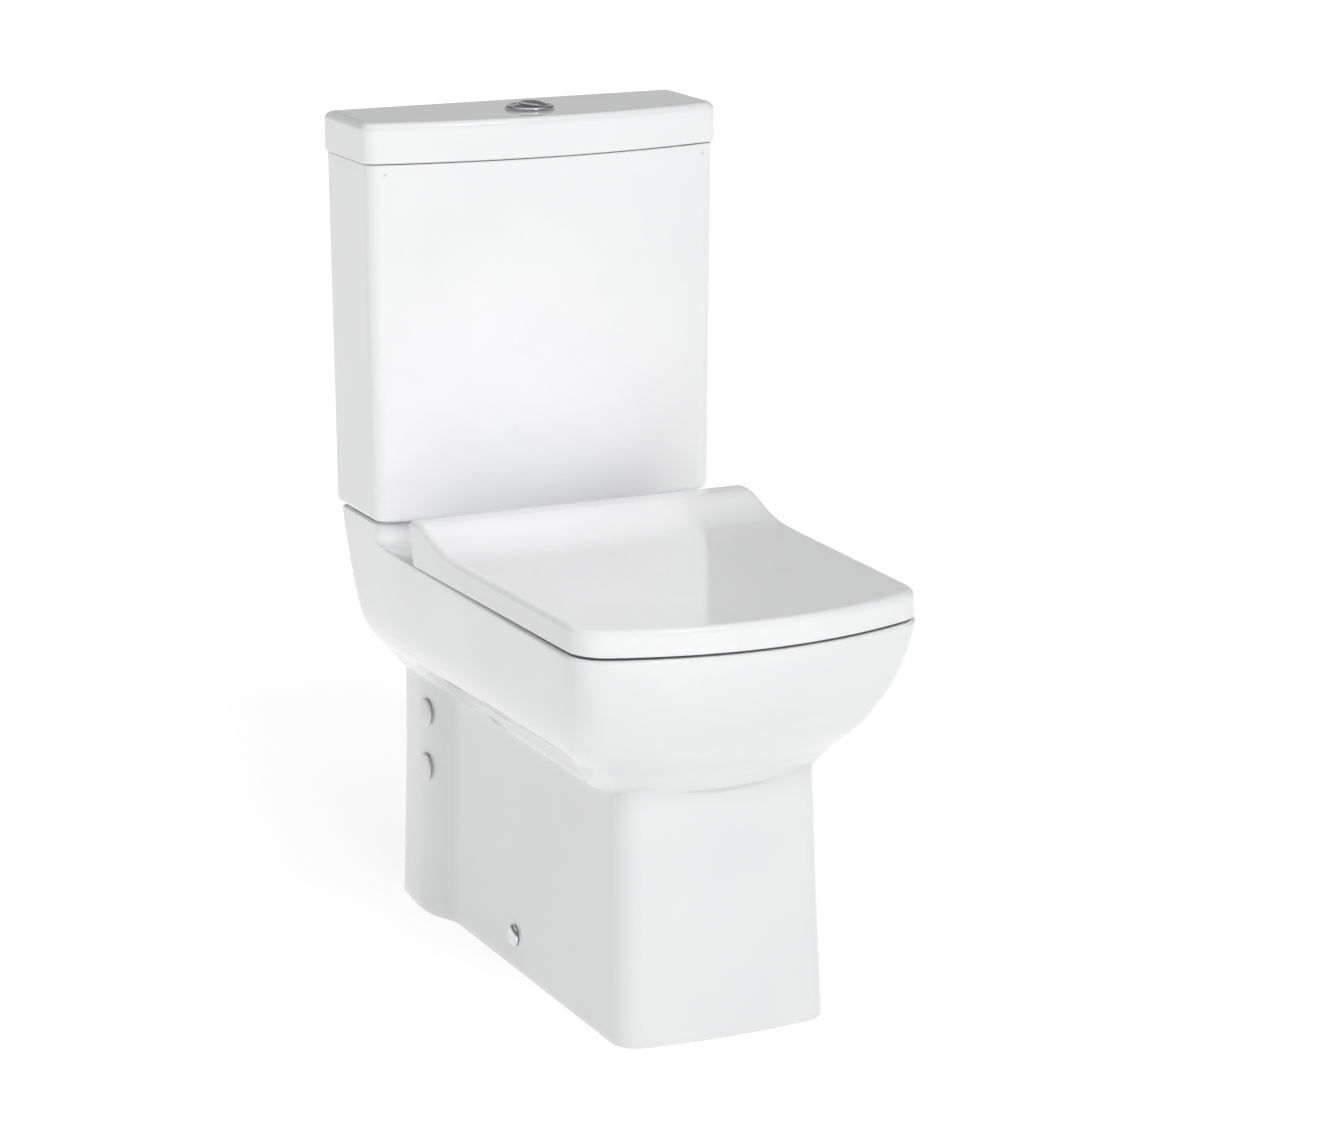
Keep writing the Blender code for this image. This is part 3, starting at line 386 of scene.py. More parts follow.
def outline(half, rear, yc, bow, radius, rear_half=None, rear_r=0.0, sides=40, arc=14, flat=22,
            back=14, rarc=6, extra=None, stations=None):
    """Symmetric rounded D.  Starts at the rear centre, runs down -x, front centre, up +x."""
    rear_half = half if rear_half is None else rear_half
    corner = front_arc(half, yc, bow, radius, arc)
    y1 = corner[0, 1]
    pts = []
    for i in range(1, back + 1):
        pts.append(((rear_half - rear_r) * i / back, rear))
    for i in range(1, rarc + 1):
        a = pi / 2 * (1 - i / rarc)
        pts.append((rear_half - rear_r + rear_r * cos(a), rear - rear_r + rear_r * sin(a)))
    ys = rear - rear_r
    if stations is None:
        st = ys + (y1 - ys) * np.linspace(0, 1, sides + 1)[1:-1]
    else:
        st = ys + (y1 - ys) * stations
    for y in st:
        t = (y - y1) / (ys - y1)
        pts.append((half + (rear_half - half) * t, y))
    pts += [tuple(c) for c in corner]
    xe = corner[-1, 0]
    for k in range(1, flat):
        x = xe * (1 - k / flat)
        pts.append((x, yc - bow * (1 - (x / half) ** 2)))
    p = np.array(pts)
    if extra is not None:
        s = slice(back, back + rarc + len(st))
        p[s, 0] += extra(p[s, 1])
        p[:back, 0] *= (rear_half + float(extra(np.array([rear]))[0])) / rear_half
    left = p.copy()
    left[:, 0] *= -1
    right = p[::-1]
    return np.vstack([[0.0, rear], left, [0.0, yc - bow], right])


def polar(ring, centre, angles):
    """Radius of a star shaped ring seen from centre at the given angles."""
    p, q = ring, np.roll(ring, -1, 0)
    e, w = q - p, p - centre
    c, n = np.cos(angles)[:, None], np.sin(angles)[:, None]
    with np.errstate(divide='ignore', invalid='ignore'):
        den = c * e[None, :, 1] - n * e[None, :, 0]
        far = (w[:, 0] * e[:, 1] - w[:, 1] * e[:, 0])[None, :] / den
        along = (w[None, :, 0] * n - w[None, :, 1] * c) / den
    ok = (np.abs(den) > 1e-9) & (along >= -1e-6) & (along <= 1 + 1e-6) & (far > 0)
    return np.where(ok, far, 0.0).max(1)


def squircle(half, rear, front, power, angles):
    yc, hy = (rear + front) / 2, (rear - front) / 2
    r = (np.abs(np.cos(angles) / half) ** power + np.abs(np.sin(angles) / hy) ** power) ** (-1 / power)
    return np.c_[r * np.cos(angles), yc + r * np.sin(angles)]


def ring3(xy, z):
    z = np.full(len(xy), float(z)) if np.isscalar(z) else z
    return np.c_[xy, z]


def smooth_step(t):
    t = np.clip(t, 0, 1)
    return t * t * (3 - 2 * t)


def fillet(r, n, top=True):
    """(inset, drop) pairs along a quarter round of radius r, from wall to flat."""
    return [(r * (1 - cos(pi / 2 * i / n)), r * (1 - sin(pi / 2 * i / n))) for i in range(n + 1)]


BACK_Y = -3.0

# ------------------------------------------------------------------ pan
PED = [(0, 109.4, -524.2, 9.2, 26.0), (60, 107.6, -521.0, 9.2, 26.0), (130, 105.8, -517.5, 9.2, 27.0),
       (200, 104.7, -514.5, 9.2, 28.0), (232, 104.6, -512.6, 10.0, 30.0)]
BELLY = [(232, 104.6, -512.6, 10.0, 30.0), (236.0, 104.8, -511.6, 11.0, 30.5),
         (239.0, 105.6, -509.0, 14.0, 31.5), (241.2, 108.0, -504.5, 19.5, 33.0),
         (243.0, 112.2, -499.0, 26.5, 34.5), (245.2, 115.8, -495.4, 31.5, 36.0),
         (249.0, 119.0, -494.6, 35.0, 37.5), (254.5, 123.4, -497.0, 37.0, 39.0),
         (265.0, 132.4, -504.2, 38.0, 40.0), (279.0, 145.0, -515.7, 38.0, 40.0),
         (290.0, 152.6, -524.6, 38.0, 40.0), (303.6, 158.9, -533.6, 38.0, 40.0),
         (321.0, 163.9, -547.2, 38.0, 40.0), (340.0, 167.6, -559.2, 38.0, 40.0),
         (356.0, 170.4, -566.8, 38.0, 40.0), (371.0, 172.6, -572.6, 38.0, 40.0),
         (388.0, 175.0, -577.6, 38.0, 40.0), (398.0, 176.2, -579.4, 38.0, 40.0)]
PROFILE = PED[:-1] + BELLY
RIB = [(-3.0, 8.6), (-20.0, 11.2), (-37.0, 13.2), (-64.0, 15.2), (-76.0, 14.9), (-88.0, 13.5),
       (-103.5, 9.0), (-113.0, 4.2), (-122.0, 1.0), (-132.0, 0.1), (-140.0, 0.0)]
RIB_A = np.array(sorted(RIB))
SHARE = [(0, 1.0), (130, 0.93), (232, 0.88), (420, 0.86)]
SIDE_ST = np.concatenate([np.linspace(0, 0.262, 38)[1:], np.linspace(0.262, 1.0, 34)[1:-1]])


def rib(y):
    y = np.asarray(y, float)
    return np.where((y > -140) & (y <= 0), pchip(RIB_A[:, 0], RIB_A[:, 1], y), 0.0)


def soft_max(a, b, k):
    return 0.5 * (a + b + np.sqrt((a - b) ** 2 + k * k)) - 0.0


def pan_outline(z, inset=0.0, rear_inset=0.0, rear_r=3.0):
    zz = min(max(z, 0.0), 398.0)
    half, yc, bow, rad = [float(table(PROFILE, c, [zz])[0]) for c in (1, 2, 3, 4)]
    share = float(table(SHARE, 1, [zz])[0])
    ped = 109.4 - (109.4 - 104.6) * min(zz, 232.0) / 232.0

    def extra(y):
        if zz <= 232.0:
            return share * rib(y)
        a = ped + share * rib(y)
        return np.maximum(soft_max(a, half, 2.0) - soft_max(ped, half, 2.0), 0.0)
    return outline(half - inset, BACK_Y - rear_inset, yc + inset, bow, max(rad - inset * 0.8, 6.0),
                   rear_r=rear_r, stations=SIDE_ST, extra=extra)


# the outer skin is the envelope of a plain foot and a belly that tapers away inside it, so the
# two meet in one thin crease with a narrow ledge
BELLY_SKIN = [(228.0, 60.0, -420.0, 24.0, 30.0), (236.0, 84.0, -462.0, 32.0, 36.0),
              (239.0, 96.0, -474.0, 34.0, 37.0), (241.0, 106.0, -482.0, 36.0, 38.0),
              (243.5, 113.0, -488.5, 37.0, 38.5), (246.0, 117.0, -491.8, 37.5, 39.0),
              (251.4, 121.2, -495.2, 38.0, 39.5), (257.0, 125.4, -498.8, 38.0, 40.0),
              (265.0, 132.2, -503.9, 38.0, 40.0), (279.0, 145.0, -515.6, 38.0, 40.0),
              (290.0, 152.6, -524.6, 38.0, 40.0), (303.6, 158.9, -533.4, 38.0, 40.0),
              (321.0, 163.9, -547.2, 38.0, 40.0), (340.0, 167.6, -559.2, 38.0, 40.0),
              (356.0, 170.4, -566.8, 38.0, 40.0), (371.0, 172.6, -572.6, 38.0, 40.0),
              (388.0, 175.0, -577.6, 38.0, 40.0), (398.0, 176.2, -579.4, 38.0, 40.0)]
CORE = np.array([0.0, -270.0])


def foot_xy(z, inset=0.0):
    zz = min(z, 232.0)
    half, yc, bow, rad = [float(table(PED, c, [zz])[0]) for c in (1, 2, 3, 4)]
    share = float(table(SHARE, 1, [zz])[0])
    return outline(half - inset, BACK_Y, yc + inset, bow, rad - inset * 0.8, rear_r=3.0,
                   stations=SIDE_ST, extra=lambda y: share * rib(y))


def belly_xy(z, inset=0.0):
    half, yc, bow, rad = [float(table(BELLY_SKIN, c, [z])[0]) for c in (1, 2, 3, 4)]
    return outline(half - inset, BACK_Y, yc + inset, bow, rad - inset * 0.8, rear_r=3.0)


def _angles():
    rows = [foot_xy(100.0), foot_xy(232.0), belly_xy(380.0), belly_xy(262.0)]
    a = np.concatenate([np.arctan2(*(r - CORE).T[::-1]) for r in rows])
    extra = np.radians(np.concatenate([np.arange(55.6, 68.0, 0.35), np.arange(112.0, 124.4, 0.35)]))
    a = np.sort(np.mod(np.concatenate([a, extra, [pi / 2]]) - pi / 2, 2 * pi))
    keep = [a[0]]
    for t in a[1:]:
        if t - keep[-1] > 0.0055:
            keep.append(t)
    return np.array(keep) + pi / 2


SKIN_A = _angles()
UNIT = np.c_[np.cos(SKIN_A), np.sin(SKIN_A)]


def skin(z, inset=0.0, blend=2.6):
    a = polar(foot_xy(z, inset), CORE, SKIN_A) if z < 300.0 else None
    if z <= 228.0:
        return CORE + UNIT * a[:, None]
    b = polar(belly_xy(z, inset), CORE, SKIN_A)
    if a is None:
        return CORE + UNIT * b[:, None]
    d = np.abs(a - b)
    m = np.maximum(a, b)
    flat = smooth_step((-5.0 - (CORE[1] + UNIT[:, 1] * m)) / 12.0)
    r = m + flat * np.where(d < blend, (blend - d) ** 2 / (4 * blend), 0.0)
    return CORE + UNIT * r[:, None]


rings = [ring3(skin(z, i), z) for z, i in [(0.0, 2.2), (0.35, 1.2), (1.0, 0.45), (2.2, 0.0)]]
zs = np.concatenate([np.linspace(10, 228, 14), np.linspace(230, 262, 34), np.linspace(264.5, 300, 15),
                     np.linspace(306, 390, 14)])
rings += [ring3(skin(z), z) for z in zs]
RIM_R = 4.2
for inset, drop in fillet(RIM_R, 7):
    z = 398.0 - drop
    a, b = skin(z), skin(z, inset)
    w = smooth_step((-98.0 - a[:, 1]) / 20.0)[:, None]
    rings.append(ring3(a * (1 - w) + b * w, z))
a, b = skin(398.0), skin(398.0, RIM_R + 1.6)
rings.append(ring3(a * (1 - w) + b * w - (a - CORE) * 0.004 * (1 - w), 398.0))
pan = loft("pan_shell", rings, GLAZE)

cav = [ring3(pan_outline(z, 12.0, 12.0), zz) for z, zz in
       [(0, -6.0), (0, 0.5)] + [(z, z) for z in list(np.linspace(60, 226, 4))
                                + list(np.linspace(232, 265, 12)) + list(np.linspace(275, 385, 9))]]
cavity = loft("c_cavity", cav)

BOWL = [(372.0, 126.0, -250.0, -564.0, 4.2), (350.0, 123.0, -253.0, -558.0, 3.8),
        (310.0, 110.0, -262.0, -534.0, 3.0), (270.0, 90.0, -272.0, -496.0, 2.6),
        (230.0, 66.0, -280.0, -446.0, 2.3), (200.0, 50.0, -286.0, -402.0, 2.1),
        (183.0, 40.0, -290.0, -380.0, 2.0), (176.0, 28.0, -298.0, -364.0, 2.0)]
ANG = np.linspace(pi / 2, pi / 2 + 2 * pi, 120, endpoint=False)


def bowl_ring(z, grow=0.0):
    q = min(max(z, 176.0), 372.0)
    h, r, f, p = [float(table(BOWL, c, [q])[0]) for c in (1, 2, 3, 4)]
    return squircle(h + grow, r + grow, f - grow, p, ANG)


IN_R = 7.0
bowl_rings = [ring3(bowl_ring(398, IN_R + 0.5), 404.0), ring3(bowl_ring(398, IN_R), 398.0)]
bowl_rings += [ring3(bowl_ring(398, IN_R - a), 398.0 - IN_R + IN_R * (1 - sin(pi / 2 * k / 8)))
               for k, a in [(k, IN_R * (1 - (1 - cos(pi / 2 * k / 8)))) for k in range(8, -1, -1)]
               for a in [IN_R * cos(pi / 2 * (8 - k) / 8)]][0:0]
for k in range(1, 9):
    t = pi / 2 * k / 8
    bowl_rings.append(ring3(bowl_ring(398, IN_R * (1 - sin(t))), 398.0 - IN_R * (1 - cos(t))))
bowl_rings += [ring3(bowl_ring(z), z) for z in np.linspace(384, 190, 34)]
bowl_rings += [ring3(bowl_ring(z), z) for z in (186, 182, 179, 177, 176)]
bowl_in = loft("c_bowl", bowl_rings, caps="ngon")
bowl_out = loft("c_bowl_shell", [ring3(bowl_ring(z, 11.0), z) for z in np.linspace(404, 182, 30)]
                + [ring3(bowl_ring(176, 9.0), 170.0), ring3(bowl_ring(176, 3.0), 165.5)], caps="ngon")

TRAP = [(-344.0, 212.0, 35.0, 46.0), (-322.0, 193.0, 36.0, 47.0), (-294.0, 181.0, 36.5, 47.5),
        (-264.0, 184.0, 37.0, 48.0), (-240.0, 202.0, 37.0, 48.0), (-219.0, 228.0, 37.5, 48.5),
        (-196.0, 247.0, 38.0, 49.0), (-168.0, 249.0, 39.0, 50.0), (-144.0, 234.0, 40.5, 51.0),
        (-125.0, 212.0, 42.0, 51.0), (-104.0, 195.0, 43.0, 51.0), (-84.0, 190.0, 43.0, 51.0),
        (-62.0, 190.0, 43.0, 51.0)]


def tube(name, col, end=0.0, seg=48, steps=44):
    t = np.arange(len(TRAP))
    q = np.linspace(0, len(TRAP) - 1, steps)
    a = np.array(TRAP)
    y, z, r = [pchip(t, a[:, c], q) for c in (0, 1, col)]
    d = np.gradient(np.c_[y, z], axis=0)
    d /= np.linalg.norm(d, axis=1)[:, None]
    th = np.linspace(0, 2 * pi, seg, endpoint=False)
    rr = []
    for k in range(steps):
        yy = y[k] + (end if k == steps - 1 else 0.0)
        rr.append(np.c_[r[k] * np.cos(th), yy - d[k, 1] * r[k] * np.sin(th),
                        z[k] + d[k, 0] * r[k] * np.sin(th)])
    return loft(name, rr, caps="ngon")


trap_out, trap_in = tube("c_trap_shell", 3), tube("c_trap_way", 2, 8.0)
duct_out = box("c_duct_shell", (-44.0, -262.0, 334.0), (44.0, -30.0, 392.0))
duct_in = box("c_duct", (-30.0, -258.0, 347.0), (30.0, -77.5, 373.0))
for o in (bowl_out, trap_out, duct_out):
    boolean(cavity, o)
holes = [cyl("c_inlet", 28.0, 347.5, 426.0, 'Z', (0, -77.5), 64),
         cyl("c_fill_gap", 21.0, 370.0, 430.0, 'Z', (130, -60), 48),
         box("c_rear", (-99.0, -22.0, -6.0), (99.0, 6.0, 292.0))]
for s in (-1, 1):
    holes += [cyl("c_couple%d" % s, 6.0, 370, 430, 'Z', (72.0 * s, -77.5), 32),
              cyl("c_seat%d" % s, 7.0, 370, 410, 'Z', (77.5 * s, -207.0), 32),
              cyl("c_screw%d" % s, 3.7, s * 80.0, s * 120.0, 'X', (-273.0, 34.4), 32),
              cyl("c_cap_a%d" % s, 10.0, s * 92.0, s * 140.0, 'X', (-76.0, 212.5), 40),
              cyl("c_cap_b%d" % s, 10.0, s * 92.0, s * 140.0, 'X', (-76.0, 155.0), 40)]
for o in [cavity, bowl_in, trap_in, duct_in] + holes:
    boolean(pan, o)
bake(pan, GLAZE, 58.0, weighted=False)

# the step that carries the cistern: flush with the sides, its front wall sweeps into the deck
STEP = [(396.0, 176.0), (398.0, 176.2), (408.0, 177.3), (418.0, 178.3), (420.0, 178.5)]


def step_ring(z, inset=0.0, sweep=0.0, zz=None):
    half = float(table(STEP, 1, [z])[0])
    o = outline(half - inset, BACK_Y - inset, -97.0 - sweep + inset, 28.0, max(13.0 - inset, 4.0),
                rear_r=3.0, sides=14, arc=14, flat=22, back=14, rarc=6)
    return ring3(o, z if zz is None else zz)


rows = [step_ring(396.0, 0.4, 7.0), step_ring(398.0, 0.0, 7.0)]
for k in range(1, 8):
    t = pi / 2 * k / 7
    rows.append(step_ring(398.0 + 7.0 * (1 - cos(t)), 0.0, 7.0 * (1 - sin(t))))
rows += [step_ring(z) for z in (409.0, 413.0)]
rows += [step_ring(420.0 - d, i) for i, d in fillet(3.2, 6)]
step = loft("pan_step", rows, GLAZE)
for o in [cyl("c_recess", 40.0, 398.5, 428.0, 'Z', (0, -77.5), 64), holes[0], holes[1]]:
    boolean(step, o)
for s in (-1, 1):
    boolean(step, cyl("c_couple_b%d" % s, 6.0, 380, 430, 'Z', (72.0 * s, -77.5), 32))
bake(step, GLAZE)
drop_cutters()

# ------------------------------------------------------------------ cistern
CB, CT = 422.9, 779.4


def cist(z, inset=0.0, rear=None, zz=None):
    half = 182.9 + (186.6 - 182.9) * (z - CB) / (CT - CB)
    rear = inset if rear is None else rear
    o = outline(half - inset, BACK_Y - rear, -112.7 + inset, 26.4, max(16.5 - inset * 0.7, 4.0),
                rear_r=3.0, sides=10, arc=14, flat=26, back=16, rarc=6)
    return ring3(o, z if zz is None else zz)


rows = []
for i, d in reversed(fillet(6.5, 8)):
    rows.append(cist(CB + d, i, i * 0.6))
rows += [cist(z) for z in (440, 520, 600, 680, 760)]
rows += [cist(CT - d, i) for i, d in fillet(1.6, 4)]
cistern = loft("cistern_body", rows, GLAZE)
tank = loft("c_tank", [cist(433.0, 15.0), cist(434.5, 12.5), cist(439.0, 10.0), cist(600.0, 10.0),
                       cist(785.0, 10.0)])
boolean(cistern, tank)
boolean(cistern, cyl("c_valve", 26.5, 410, 450, 'Z', (0, -77.5), 64))
boolean(cistern, cyl("c_fill", 10.2, 410, 450, 'Z', (130, -60), 40))
for s in (-1, 1):
    boolean(cistern, cyl("c_bolt%d" % s, 5.0, 410, 450, 'Z', (72.0 * s, -77.5), 32))
bake(cistern, GLAZE)
drop_cutters()


def lid_ring(z, inset=0.0, rear=None):
    rear = inset if rear is None else rear
    return ring3(outline(189.4 - inset, BACK_Y - rear, -113.8 + inset, 26.4,
                         max(17.0 - inset * 0.7, 4.0), rear_r=3.0, sides=10, arc=14, flat=26,
                         back=16, rarc=6), z)


rows = [lid_ring(780.2 + d, i) for i, d in reversed(fillet(1.8, 4))]
rows += [lid_ring(z) for z in (790, 800, 811.5)]
rows += [lid_ring(820.0 - d, i, i * 0.8) for i, d in fillet(8.2, 9)[1:]]
tank_lid = loft("tank_lid_shell", rows, GLAZE)
boolean(tank_lid, loft("c_recess", [lid_ring(778.0, 10.0), lid_ring(804.0, 10.5),
                                    lid_ring(807.0, 13.0)]))
boolean(tank_lid, cyl("c_button", 21.6, 795, 830, 'Z', (0, -77.5), 64))
bake(tank_lid, GLAZE)
lip = loft("tank_lid_lip", [lid_ring(770.0, 18.0, 14.0), lid_ring(772.0, 17.0, 13.0),
                            lid_ring(809.0, 17.0, 13.0)], GLAZE)
boolean(lip, loft("c_lip", [lid_ring(766.0, 23.5, 19.0), lid_ring(812.0, 23.5, 19.0)]))
bake(lip, GLAZE)
drop_cutters()

# ------------------------------------------------------------------ seat lid
LIP = [(-640.0, 426.3), (-330.0, 426.3), (-307.0, 426.55), (-284.0, 427.7), (-263.5, 430.9),
       (-244.0, 435.9), (-228.0, 441.3), (-216.0, 444.2), (-206.0, 445.1), (-197.0, 445.0),
       (-190.0, 443.8), (-184.0, 442.0)]
LIP_A = np.array(LIP)
SEAT_ST = np.concatenate([np.linspace(0, 0.40, 46)[1:], np.linspace(0.40, 1.0, 20)[1:-1]])


def seat_plan(inset, rear):
    return outline(174.6 - inset, rear - inset, -577.5 + inset, 40.5, max(41.0 - inset * 0.85, 5.0),
                   rear_half=181.3 - inset, rear_r=3.5, stations=SEAT_ST, arc=16, flat=26, back=16,
                   rarc=6)


def seat_row(inset, rear, z=None, drop=0.0):
    p = seat_plan(inset, rear)
    if z is not None:
        return ring3(p, z)
    return ring3(p, pchip(LIP_A[:, 0], LIP_A[:, 1], p[:, 1]) - drop)


def seat_blend(inset, rear, t, z0=402.2, drop=7.0):
    """Ring a share t of the way from the foot of the skirt to the start of the top edge."""
    p = seat_plan(inset, rear)
    top = pchip(LIP_A[:, 0], LIP_A[:, 1], p[:, 1]) - drop
    return ring3(p, z0 + (top - z0) * t)


TOP_R = 7.0
rows = [seat_row(34.0, -196.0, drop=4.5), seat_row(4.5 + 5.0, -190.5, drop=4.5),
        seat_row(4.5 + 1.5, -190.0, drop=5.8), seat_row(4.5, -190.5, drop=9.0),
        seat_blend(4.4, -196.0, 0.5, 402.0, 9.0),
        seat_row(4.3, -200.0, z=402.0), seat_row(3.9, -200.2, z=401.0),
        seat_row(3.0, -200.6, z=400.6), seat_row(1.4, -200.6, z=400.6),
        seat_row(0.4, -200.4, z=401.1), seat_row(0.0, -200.0, z=402.2)]
for t in (0.2, 0.4, 0.6, 0.8):
    rows.append(seat_blend(-0.0, -200.0 + 10.0 * t, t))
for k in range(0, 10):
    a = pi / 2 * k / 9
    rows.append(seat_row(TOP_R * (1 - cos(a)) * 1.15, -190.0 + 2.5 * sin(a),
                         drop=TOP_R * (1 - sin(a))))
rows += [seat_row(10.5, -187.0, drop=0.0), seat_row(18.0, -186.0), seat_row(30.0, -185.0)]
seat_lid = loft("seat_lid_shell", rows, SEAT)
boolean(seat_lid, box("c_notch", (-107.5, -219.5, 390.0), (107.5, -180.0, 438.4)))
bake(seat_lid, SEAT)
drop_cutters()


# ------------------------------------------------------------------ seat ring
def ring_plan(inset):
    return outline(174.6 - inset, -227.5 - inset, -577.5 + inset, 40.5, max(41.0 - inset * 0.8, 5.0),
                   rear_half=180.7 - inset, rear_r=12.0, sides=34, arc=14, flat=24, back=16, rarc=6)


outer = ring_plan(7.0)
centre = np.array([0.0, -400.0])
angs = np.arctan2(outer[:, 1] + 400.0, outer[:, 0])


def opening(grow, z):
    return ring3(squircle(106.0 + grow, -272.0 + grow, -528.0 - grow, 3.0, angs), z)


rows = [ring3(ring_plan(9.0), 402.6), ring3(ring_plan(7.6), 403.1), ring3(outer, 404.6),
        ring3(outer, 410.0)]
rows += [ring3(ring_plan(7.0 + i), 417.0 - d) for i, d in fillet(4.0, 6)]
rows += [opening(30.0, 416.9), opening(18.0, 416.3)]
for k in range(0, 8):
    a = pi / 2 * k / 7
    rows.append(opening(8.0 * (1 - sin(a)) + 0.0, 415.2 - 7.0 * (1 - cos(a))))
rows += [opening(0.0, 405.6), opening(0.5, 403.6), opening(2.0, 402.6)]
seat_ring = loft("seat_ring_shell", rows, SEAT, closed=True)
bake(seat_ring, SEAT)


# ------------------------------------------------------------------ turned pieces
def lathe(name, profile, at, axis='Z', mat=None, seg=72, flip=1.0, closed=False):
    """profile: (radius, height) pairs in mm; a radius of 0 closes the end."""
    th = np.linspace(0, 2 * pi, seg, endpoint=False)
    V, F, rows = [], [], []
    for r, h in profile:
        if r <= 1e-6:
            rows.append([len(V)])
            V.append((0.0, 0.0, h))
        else:
            rows.append(list(range(len(V), len(V) + seg)))
            V += [(r * cos(t), r * sin(t), h) for t in th]
    pairs = list(zip(rows, rows[1:]))
    if closed:
        pairs.append((rows[-1], rows[0]))
    for a, b in pairs:
        for i in range(seg):
            j = (i + 1) % seg
            if len(a) == 1 and len(b) == 1:
                continue
            if len(a) == 1:
                F.append((a[0], b[j], b[i]))
            elif len(b) == 1:
                F.append((a[i], a[j], b[0]))
            else:
                F.append((a[i], a[j], b[j], b[i]))
    V = np.array(V)
    if axis == 'X':
        V = np.c_[V[:, 2] * flip, V[:, 0], V[:, 1]]
    V = V + np.array(at, float)
    V[:, 1] += DC
    ob = mesh_object(name, V * MM, F, mat, 40.0)
    return ob


def round_corner(r, h, rad, n=5, up=True):
    """Points of an outer corner: from the wall at radius r round to the face at height h."""
    return [(r - rad + rad * cos(pi / 2 * k / n), h - rad + rad * sin(pi / 2 * k / n))
            for k in range(n + 1)]


BX, BY = 0.0, -77.5
prof = [(18.9, 776.6), (19.3, 776.0), (20.5, 776.0), (20.9, 776.6), (20.9, 820.3), (24.4, 820.3),
        (25.0, 820.6), (24.95, 821.3), (24.5, 822.2), (23.6, 823.0), (22.3, 823.4), (20.6, 823.4),
        (19.5, 823.0), (18.95, 822.0)]
bezel = lathe("flush_bezel", prof, (BX, BY, 0.0), mat=CHROME, seg=96, closed=True)


def dome(name, top, crown):
    prof = [(0.0, 810.0), (18.4, 810.0)]
    edge = top - crown
    prof += [(18.4, edge - 0.6)]
    for k in range(0, 13):
        r = 18.3 * cos(pi / 2 * k / 12)
        prof.append((r if k < 12 else 0.0, edge + crown * (1 - (r / 18.3) ** 2.2)))
    return lathe(name, prof, (BX, BY, 0.0), mat=CHROME, seg=96)


large = dome("flush_large", 828.4, 4.6)
boolean(large, cyl("c_keep", 15.8, 800, 840, 'Z', (6.2, BY), 96), 'INTERSECT')
bake(large, CHROME, weighted=False)
small = dome("flush_small", 825.4, 2.6)
boolean(small, cyl("c_small", 16.4, 800, 840, 'Z', (6.2, BY), 96))
bake(small, CHROME, weighted=False)
drop_cutters()
for o in (large, small):
    b = o.modifiers.new("edge", 'BEVEL')
    b.width = 0.0006
    b.segments = 3
    b.limit_method = 'ANGLE'
    b.angle_limit = radians(40)
    b.harden_normals = False

caps = []
for s in (-1, 1):
    tag = "left" if s < 0 else "right"
    for z, level, share in ((212.5, "upper", 0.885), (155.0, "lower", 0.917)):
        lo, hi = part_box("side_cap_%s_%s" % (level, tag))
        face = max(abs(lo.x), abs(hi.x)) / MM - 3.0
        prof = [(0.0, face - 9.0), (8.9, face - 9.0), (9.5, face - 8.2), (9.5, face), (13.4, face),
                (14.0, face + 0.35), (13.95, face + 1.2), (13.5, face + 1.9), (12.4, face + 2.35),
                (10.0, face + 2.65), (6.0, face + 2.9), (0.0, face + 3.0)]
        c = lathe("cap_%s_%s" % (level, tag), prof, (0.0, -76.0, z), 'X', CAP, 64, flip=s)
        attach(c, "root")
        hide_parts("side_cap_%s_%s" % (level, tag))
    lo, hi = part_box("screw_cover_" + tag)
    f = max(abs(lo.x), abs(hi.x)) / MM
    prof = [(7.0, f - 4.3), (10.6, f - 4.3), (11.0, f - 3.9), (10.9, f - 3.2), (10.2, f - 2.2),
            (8.8, f - 1.2), (6.6, f - 0.4), (4.2, f - 0.05), (2.6, f - 0.2), (1.6, f - 0.9),
            (0.0, f - 1.1), ]
    inner = [(0.0, f - 1.6), (7.0, f - 1.9)]
    c = lathe("cover_" + tag, prof + inner, (0.0, -273.0, 34.4), 'X', CHROME, 64, flip=s,
              closed=False)
    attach(c, "root")
    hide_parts("screw_cover_" + tag)

# ------------------------------------------------------------------ bodies: attach the pieces, hide the parts they replace
for ob, body, slot, node in (
        (pan, "root", "glazed_ceramic", ("pan",)),
        (cistern, "root", "glazed_ceramic", ("cistern",)),
        (tank_lid, "tank_lid", "glazed_ceramic", ("cistern_lid",)),
        (seat_lid, "lid", "seat_plastic", ("seat_lid",)),
        (seat_ring, "ring", "seat_plastic", ("seat_ring",)),
        (bezel, "tank_lid", "chrome", ("button_bezel",)),
        (large, "large_button", "chrome", ("button_large",)),
        (small, "small_button", "chrome", ("button_small",))):
    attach(ob, body)
    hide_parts(*node)
for ob, body, slot in ((step, "root", "glazed_ceramic"), (lip, "tank_lid", "glazed_ceramic")):
    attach(ob, body)

# ------------------------------------------------------------------ stage, light, camera
bpy.ops.mesh.primitive_plane_add(size=60.0, location=(0.0, 0.0, 0.0))
floor = bpy.context.object
floor.name = "studio_floor"
fmat, fnt, fb = _new("floor_pale")
fv = _coords(fnt)
fnt.links.new(_mix(fnt, _range(fnt, _noise(fnt, fv, 3.0, 2.0), 0.0, 1.0), (0.32, 0.32, 0.32),
                   (0.30, 0.30, 0.30)), fb.inputs["Base Color"])
fb.inputs["Roughness"].default_value = 0.9
fb.inputs["Specular IOR Level"].default_value = 0.0
fb.inputs["Emission Color"].default_value = (1.0, 1.0, 1.0, 1.0)
dist = fnt.nodes.new("ShaderNodeVectorMath")
dist.operation = 'LENGTH'
fnt.links.new(fv, dist.inputs[0])
fnt.links.new(_range(fnt, dist.outputs["Value"], 0.80, 0.96, 0.5, 3.0),
              fb.inputs["Emission Strength"])
floor.data.materials.append(fmat)
floor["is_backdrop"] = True

world = bpy.data.worlds.new("studio")
bpy.context.scene.world = world
